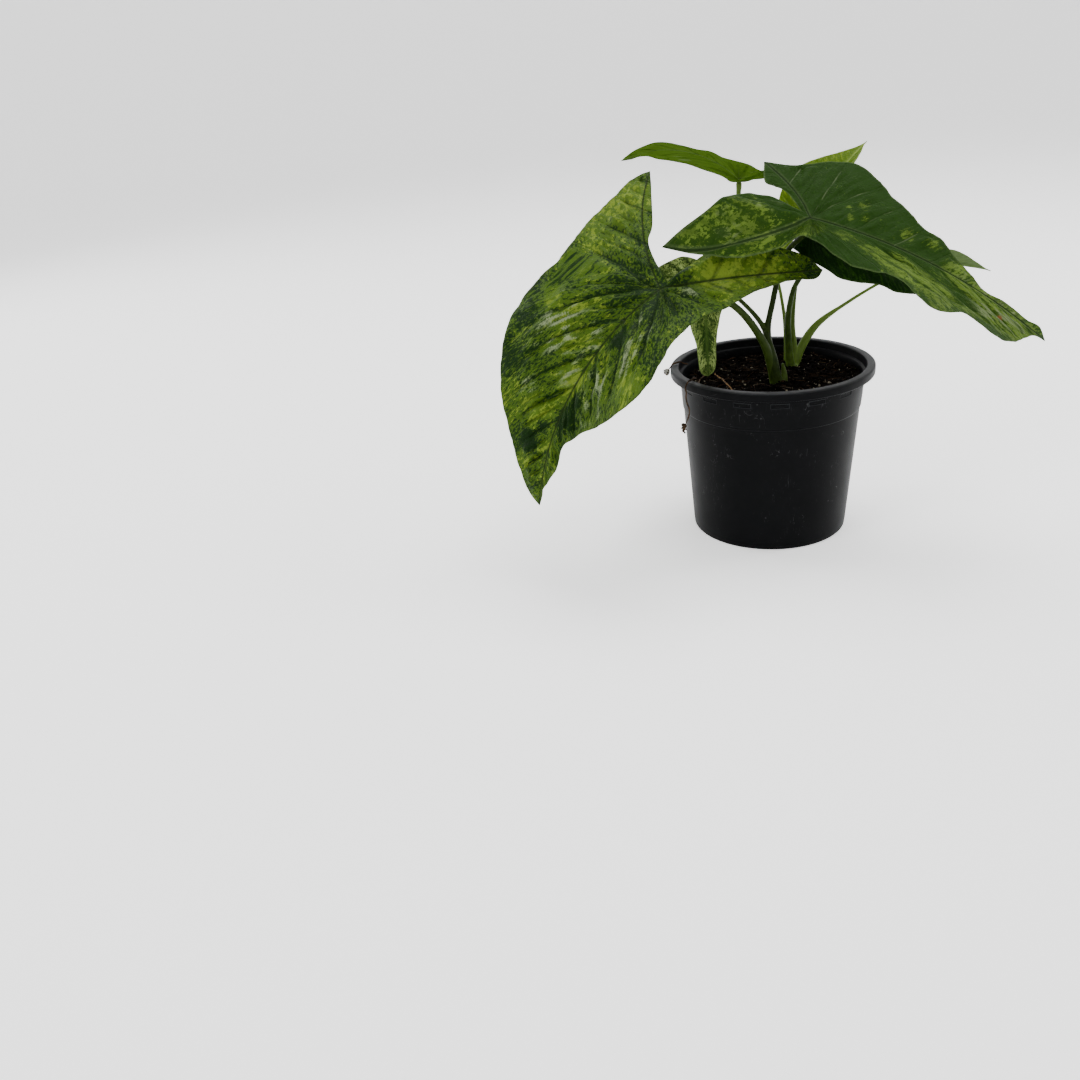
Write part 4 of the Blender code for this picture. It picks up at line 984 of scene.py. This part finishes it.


# How a leaf looks. Its grid has so many steps along and across. The side veins start vein_gap mm
# apart, lean and hook towards the tip, crowd there, and collect in the vein inside the margin. The
# blade puffs up between them, in puckers of this size, and its margin waves. Noise in patches and
# specks, drawn out along the side veins, turns the dark green to mid greens above cover and to
# bright green above bright_at. Sheen is the colour of a painted sheen on the ridges. Zones are
# places on the flat leaf: x, y, size, how much lighter and how much more painted sheen. What a
# leaf doesn't say is as in the plain look.
PLAIN_LOOK = dict(lean=(1.1, 1.1), crowd=0.2, hook=0.01, collect=0.75, pucker=8.0, wave=0.3,
                  patch=12.0, drawn=0.36, bright_zones=0.1, painted_sheen=0.1, side_vein=(0.2, 0.2),
                  rib_side=0.2, rough=0.42, zones=())
LEAVES = (
    ("leaf_left_blade", LEFT_LEAF, "leaf_mottled", "leaf_left",
     dict(steps=(230, 60), vein_gap=28.0, lean=(1.0, 1.0), crowd=0.35, hook=0.011, collect=0.66,
          seed=3.1, pucker=9.0, puff=2.0, wave=0.9, patch=15.0, speck=1.5, drawn=0.75, patchy=0.30,
          cover=0.485, bright_at=0.60, bright_zones=0.18, zone=(0.074, 0.126, 0.010),
          dark=(0.0045, 0.017, 0.002), mid=(0.031, 0.067, 0.004), mid_other=(0.050, 0.093, 0.008),
          bright=(0.118, 0.172, 0.016), sheen=(0.190, 0.230, 0.125), painted_sheen=0.12,
          side_vein=(0.0, 0.0), rib_side=0.1, vein_colour=(0.014, 0.032, 0.004),
          midrib=(0.010, 0.020, 0.003), rim=(0.020, 0.040, 0.004), under=(0.075, 0.120, 0.030),
          gloss=0.05, rough=0.46,
          # Zones at (-28, 14), (-52, 21), (-40, 26): painted light on the lobe the right leaf
          # shades.
          zones=((38, -30, 9, 0.1, 0.6), (48, -36, 9, 0.1, 0.7), (62, -30, 10, 0.1, 0.6),
                 (52, -20, 9, 0.2, 0.8), (45, -9, 8, 0.1, 0.7), (68, -8, 8, 0.2, 0.6),
                 (88, -30, 8, 0, 0.5), (28, 16, 10, -0.1, 0.8), (46, 28, 10, -0.1, 0.9),
                 (64, 15, 9, 0.1, 0.9), (80, 22, 9, 0.1, 0.7), (-28, 14, 12, 0.7, 0.4),
                 (-10, 16, 9, 0, 0.5), (42, -46, 7, 0.5, 0), (96, -16, 12, 0.45, 0),
                 (56, 36, 9, 0.5, 0), (74, -3, 8, 0.5, 0), (18, -40, 10, 0.2, 0.2),
                 (62, -50, 9, -0.35, -0.2), (82, -47, 9, -0.4, -0.2), (38, 7, 5, -0.7, 0.2),
                 (77, 4, 5, -0.7, 0.2), (89, 3, 6, -0.8, 0.3), (112, -19, 6, -0.8, 0),
                 (100, -12, 4, -0.7, 0), (-52, 21, 15, 0.4, -0.1), (-72, 31, 10, 0.1, -0.2),
                 (-20, -60, 22, 0.35, 0.1), (-44, -68, 13, 0.4, 0.2), (-40, 26, 12, 0.2, 0)))),
    ("leaf_right_blade", RIGHT_LEAF, "leaf_dark", "leaf_right",
     dict(steps=(230, 50), vein_gap=25.0, lean=(2.4, 0.65), hook=0.004, collect=0.74, seed=8.4,
          pucker=9.0, puff=1.0, wave=0.7, patch=15.0, speck=1.7, drawn=0.45, soften=0.5,
          patchy=0.24, cover=0.645, bright_at=0.60, bright_zones=0.16, zone=(0.074, 0.116, 0.018),
          dark=(0.0125, 0.034, 0.004), mid=(0.028, 0.056, 0.005), mid_other=(0.036, 0.068, 0.010),
          bright=(0.080, 0.130, 0.018), sheen=(0.120, 0.150, 0.070), painted_sheen=0.05,
          side_vein=(0.0, 0.8), rib_side=0.22, vein_colour=(0.085, 0.110, 0.055),
          midrib=(0.008, 0.020, 0.004), rim=(0.055, 0.085, 0.030), under=(0.050, 0.085, 0.025),
          gloss=0.02, rough=0.46, scar=(114.0, -6.0),
          zones=((0, -8, 7, 0.9, 0.2), (8, -6, 5, 0.6, 0), (18, -8, 4, 0.5, 0),
                 (24, 20, 4, 0.55, 0), (20, 8, 2.5, 0.7, 0), (28, 11, 3, 0.6, 0),
                 (17, 15, 2, 0.6, 0), (52, 12, 5, 0.6, 0), (66, 15, 4, 0.7, 0),
                 (24, -9, 6, 0.5, 0), (36, -13, 7, 0.55, 0), (48, -16, 10, 0.6, 0.1),
                 (61, -18, 13, 0.8, 0.25), (77, -22, 13, 0.7, 0.1), (20, -24, 8, -0.4, 0),
                 (38, -31, 7, -0.3, 0), (82, 6, 9, 0.7, 0.3), (95, 4, 11, 0.6, 0.2),
                 (108, -6, 13, 0.7, 0.6), (126, -4, 18, 0.9, 1.1), (82, -36, 9, 0.5, 0.2),
                 (98, -22, 7, 0.3, 0.5), (16, 44, 9, -0.2, 0.2), (6, 32, 9, 0.1, 0.1),
                 (-28, 26, 11, -0.2, 0.2), (-20, 12, 8, -0.2, 0.3), (-30, -14, 13, 0.42, 0.3),
                 (-48, -30, 15, 0.45, 0.2), (-58, -46, 10, 0.40, 0.1), (-14, -22, 13, 0.45, 0.2),
                 (-36, -22, 9, 0.1, 0.9), (-26, -36, 12, 0.3, 0.1), (-52, -22, 6, -0.7, 0),
                 (-20, -4, 5, -0.4, 0.4)))),
    ("leaf_rear_blade", REAR_LEAF, "leaf_rear_green", "leaf_rear",
     dict(steps=(120, 28), vein_gap=16.0, collect=0.72, seed=5.2, pucker=9.0, puff=0.45, wave=0.4,
          speck=2.0, patchy=0.35, cover=0.37, bright_at=0.66, zone=(0.032, 0.068, 0.003),
          dark=(0.016, 0.038, 0.003), mid=(0.030, 0.064, 0.004), mid_other=(0.042, 0.078, 0.010),
          bright=(0.042, 0.080, 0.005), sheen=(0.085, 0.115, 0.048), painted_sheen=0.25,
          vein_colour=(0.050, 0.080, 0.024), midrib=(0.050, 0.078, 0.024),
          rim=(0.040, 0.078, 0.006), under=(0.045, 0.070, 0.022), gloss=0.0, rough=0.6,
          zones=((55, 10, 10, 0.2, -0.2), (36, 22, 8, 0, 0.4), (-1, 20, 8, -0.55, 0),
                 (-12, 22, 8, -0.5, 0), (0, 10, 5, 0.4, 0)))),
    ("leaf_young_blade", YOUNG_LEAF, "leaf_young_green", "leaf_young",
     dict(steps=(100, 24), vein_gap=13.0, lean=(1.2, 1.2), seed=2.6, puff=0.4,
          speck=1.8, drawn=0.4, patchy=0.2, cover=0.33, bright_at=0.55,
          zone=(0.070, 0.125, 0.004), dark=(0.036, 0.074, 0.002), mid=(0.048, 0.094, 0.002),
          mid_other=(0.064, 0.112, 0.003), bright=(0.100, 0.155, 0.006),
          sheen=(0.150, 0.200, 0.060), side_vein=(0.3, 0.3), rib_side=0.3,
          vein_colour=(0.150, 0.215, 0.040), midrib=(0.150, 0.210, 0.040),
          rim=(0.130, 0.190, 0.020), under=(0.110, 0.175, 0.020), gloss=0.03)),
    # The low leaf's greens are darker than the others': its own dark green and painted shade from
    # the right leaf above.
    ("leaf_low_blade", LOW_LEAF, "leaf_low_green", "leaf_low",
     dict(steps=(100, 22), vein_gap=14.0, seed=6.6, puff=0.15, speck=2.0,
          patchy=0.3, cover=0.52, bright_at=0.68, zone=(0.010, 0.030, 0.003),
          dark=(0.004, 0.014, 0.002), mid=(0.008, 0.026, 0.003), mid_other=(0.012, 0.033, 0.004),
          bright=(0.030, 0.055, 0.008), sheen=(0.030, 0.045, 0.020), rib_side=0.1,
          vein_colour=(0.020, 0.040, 0.010), midrib=(0.020, 0.035, 0.010),
          rim=(0.020, 0.040, 0.008), under=(0.014, 0.030, 0.008), gloss=0.01)),
    ("leaf_far_blade", FAR_LEAF, "leaf_far_green", "leaf_far",
     dict(steps=(90, 22), vein_gap=12.0, seed=9.3, pucker=7.0, puff=0.35, wave=0.25, patch=10.0,
          speck=1.8, patchy=0.25, cover=0.42, bright_at=0.62, zone=(0.070, 0.110, 0.020),
          dark=(0.028, 0.055, 0.010), mid=(0.055, 0.090, 0.022), mid_other=(0.075, 0.110, 0.038),
          bright=(0.110, 0.160, 0.030), sheen=(0.130, 0.160, 0.100), painted_sheen=0.25,
          side_vein=(0.3, 0.3), vein_colour=(0.100, 0.150, 0.045), midrib=(0.090, 0.140, 0.040),
          rim=(0.120, 0.180, 0.030), under=(0.070, 0.110, 0.035), gloss=0.02, rough=0.36)),
    ("leaf_hanging_blade", HANGING_LEAF, "leaf_pale", "leaf_hanging",
     dict(steps=(110, 28), vein_gap=12.0, lean=(1.4, 1.4), hook=0.008, seed=4.7,
          puff=0.35, speck=0.9, drawn=0.8, patchy=0.12, cover=0.46, bright_at=0.49,
          zone=(0.130, 0.190, 0.040), dark=(0.014, 0.036, 0.004), mid=(0.098, 0.148, 0.026),
          mid_other=(0.150, 0.210, 0.050), bright=(0.260, 0.340, 0.100),
          sheen=(0.240, 0.300, 0.150), side_vein=(0.1, 0.1), rib_side=0.3,
          vein_colour=(0.060, 0.100, 0.020), midrib=(0.040, 0.080, 0.012),
          rim=(0.120, 0.180, 0.050), under=(0.170, 0.235, 0.080), gloss=0.03,
          zones=((30, 1, 1.8, -0.5, 0), (34, 2, 2.0, -0.7, 0), (38, 2, 2.0, -0.7, 0),
                 (42, 2, 2.0, -0.7, 0), (46, 2, 1.8, -0.5, 0), (8, -6, 8, 0.15, 0)))),
)
for name, leaf, slot, node, own_look in LEAVES:
    look = {**PLAIN_LOOK, **own_look}
    whole = leaf if "tip" in leaf else arrowhead(leaf)
    dress_leaf(grow_leaf(name, whole, look, slot, node), look)


# The roots: three dry aerial roots, wiry and knotted. One runs over the front lip and down the
# pot, one lies on the soil, and a short one has a crumb of soil caught on it at the left rim.
LONG_ROOT_ON_SOIL = [(-39.0, 7.0), (-42.0, -3.0), (-42.4, -15.0)]
LONG_ROOT = [(-42.6, -27.0, 101.4), (-44.0, -33.5, 103.4), (-46.0, -38.2, 103.3),
             (-47.8, -40.6, 99.5), (-47.6, -40.6, 95.0), (-45.8, -40.6, 87.0),
             (-47.5, -38.6, 79.0), (-49.6, -35.6, 72.0)]
SOIL_ROOT = [(-34.5, 8.0), (-29.0, -4.0), (-25.0, -17.0), (-21.5, -29.0)]
RIM_ROOT = [(-50.4, 8.0, 99.6), (-54.2, 2.0, 102.9), (-58.4, -2.6, 102.9), (-61.2, -5.4, 99.8)]


def on_soil(points):
    return [(x, y, soil_height(x, y) + 1.4) for x, y in points]


def kinked(points, size):
    """The same route with a small sideways kink between each two of its points."""
    route = [points[0]]
    for index, (near, far) in enumerate(zip(points, points[1:])):
        x, y, z = (Vector(near) + Vector(far)) / 2
        kink = size * (-1) ** index / math.hypot(x, y)
        route += [(x - y * kink, y + x * kink, z), far]
    return route


roots = []
for name, points, node in (("dry_root_long", on_soil(LONG_ROOT_ON_SOIL) + LONG_ROOT,
                            "root_long"),
                           ("dry_root_on_soil", on_soil(SOIL_ROOT), "root_on_soil"),
                           ("dry_root_over_rim", RIM_ROOT, "root_over_rim")):
    bm = bmesh.new()
    pale = bm.verts.layers.float.new("pale")
    tube(bm, kinked(points, 0.7), [0.5, 0.44, 0.5, 0.42, 0.3], 10, 0.35, 0.5)
    for lump in range(7 if node == "root_long" else 0):
        bits = bmesh.ops.create_icosphere(bm, subdivisions=3, radius=1.25 - 0.12 * lump)["verts"]
        for vert in bits:
            vert.co *= 1 + 0.7 * noise.noise(vert.co * 1.1 + Vector((lump, 0, 0)))
        bmesh.ops.translate(bm, verts=bits, vec=Vector(points[-1]) + Vector(
            (0.6 * math.sin(2.4 * lump), 0.4 * math.cos(2.4 * lump), 3.6 - 0.75 * lump)))
    if node == "root_over_rim":
        crumb = bmesh.ops.create_icosphere(bm, subdivisions=4, radius=1.9)["verts"]
        for vert in crumb:
            vert.co *= 1 + 0.35 * noise.noise(vert.co * 0.9) + 0.15 * noise.noise(vert.co * 2.4)
            vert[pale] = 1.0
        bmesh.ops.translate(bm, verts=crumb, vec=(-61.6, -5.8, 99.2))
    bmesh.ops.recalc_face_normals(bm, faces=bm.faces)
    roots.append(place_piece(name, bm, "root_brown", [node]))
for root, pale_bark in zip(roots, ((0.045, 0.025, 0.011), (0.20, 0.11, 0.042),
                                   (0.045, 0.023, 0.009))):
    bark = Finish(root.name + "_bark", {"Specular IOR Level": 0.1})
    spot = bark.place()
    knots = bark.cloudy(spot, 1.6, 3, 0.6)
    grit = bark.cloudy(spot, 1.1, 4, 0.7).step(0.44, 0.52)
    shade = bark.over((0.010, 0.005, 0.002), (knots.step(0.35, 0.60), pale_bark),
                      (bark.attribute("pale") * grit, (0.34, 0.33, 0.31)))
    bark.wear(root, Base_Color=shade, Roughness=0.6 + 0.3 * knots,
              Normal=bark.bumps(bark.cloudy(spot, 0.5, 3), 0.15))


# Where it is photographed: a white sweep that curves up all round, under one wide soft light, with
# softer boxes at the left and right. Seen from in front and above.
sweep_bm = turned([(0, 0), (1.5, 0), (3.0, 0)] + arc((3.2, 1.6), 1.6, -90, 0, 14)
                  + [(4.8, 3.4)], 96)
bmesh.ops.reverse_faces(sweep_bm, faces=sweep_bm.faces)
floor = link_object("sweep", sweep_bm)
floor.data.shade_smooth()
paper = Finish("white_paper", {"Base Color": (0.92, 0.92, 0.92, 1), "Roughness": 0.9,
                               "Specular IOR Level": 0.1, "Emission Color": (1, 1, 1, 1),
                               "Emission Strength": 0.7})
floor.data.materials.append(paper.material)

world = bpy.data.worlds.new("studio")
world.use_nodes = True
glow = world.node_tree.nodes["Background"].inputs
glow["Color"].default_value = (1, 1, 1, 1)
glow["Strength"].default_value = 0.25
bpy.context.scene.world = world

for name, spot, aim, size, power in (("overhead", (0.1, 0.45, 1.6), (0, 0, 0.1), 1.0, 27),
                                     ("right_box", (1.25, 0.35, 1.15), (0, 0, 0.15), 0.6, 11),
                                     ("left_front_box", (-0.95, -0.95, 1.0), (0, 0, 0.15), 0.5, 8),
                                     ("left_back_box", (-1.3, 0.6, 0.75), (0, 0, 0.15), 0.5, 7)):
    light = bpy.data.lights.new(name, "AREA")
    light.shape = "SQUARE"
    light.size = size
    light.energy = power
    lamp = bpy.data.objects.new(name, light)
    lamp.location = spot
    lamp.rotation_euler = (Vector(aim) - Vector(spot)).to_track_quat("-Z", "Y").to_euler()
    bpy.context.scene.collection.objects.link(lamp)

CAMERA_AT = Vector((0.0, -0.6195, 0.2862))
CAMERA_YAW, CAMERA_PITCH, CAMERA_ROLL = -0.2390, -0.4461, -0.0868
FRAME_PIXELS, FOCAL_PIXELS = 1080, 1043
ahead = Vector((math.sin(CAMERA_YAW) * math.cos(CAMERA_PITCH),
                math.cos(CAMERA_YAW) * math.cos(CAMERA_PITCH), math.sin(CAMERA_PITCH)))
level = Vector((math.cos(CAMERA_YAW), -math.sin(CAMERA_YAW), 0))
over = level.cross(ahead)
right = level * math.cos(CAMERA_ROLL) + over * math.sin(CAMERA_ROLL)
up = over * math.cos(CAMERA_ROLL) - level * math.sin(CAMERA_ROLL)
lens = bpy.data.cameras.new("camera")
lens.sensor_fit = "HORIZONTAL"
lens.sensor_width = 36.0
lens.lens = 36.0 * FOCAL_PIXELS / FRAME_PIXELS
camera = bpy.data.objects.new("camera", lens)
pose = camera.matrix_world.copy()
for column, axis in enumerate((right, up, -ahead, CAMERA_AT)):
    for line in range(3):
        pose[line][column] = axis[line]
camera.matrix_world = pose
bpy.context.scene.collection.objects.link(camera)
bpy.context.scene.camera = camera
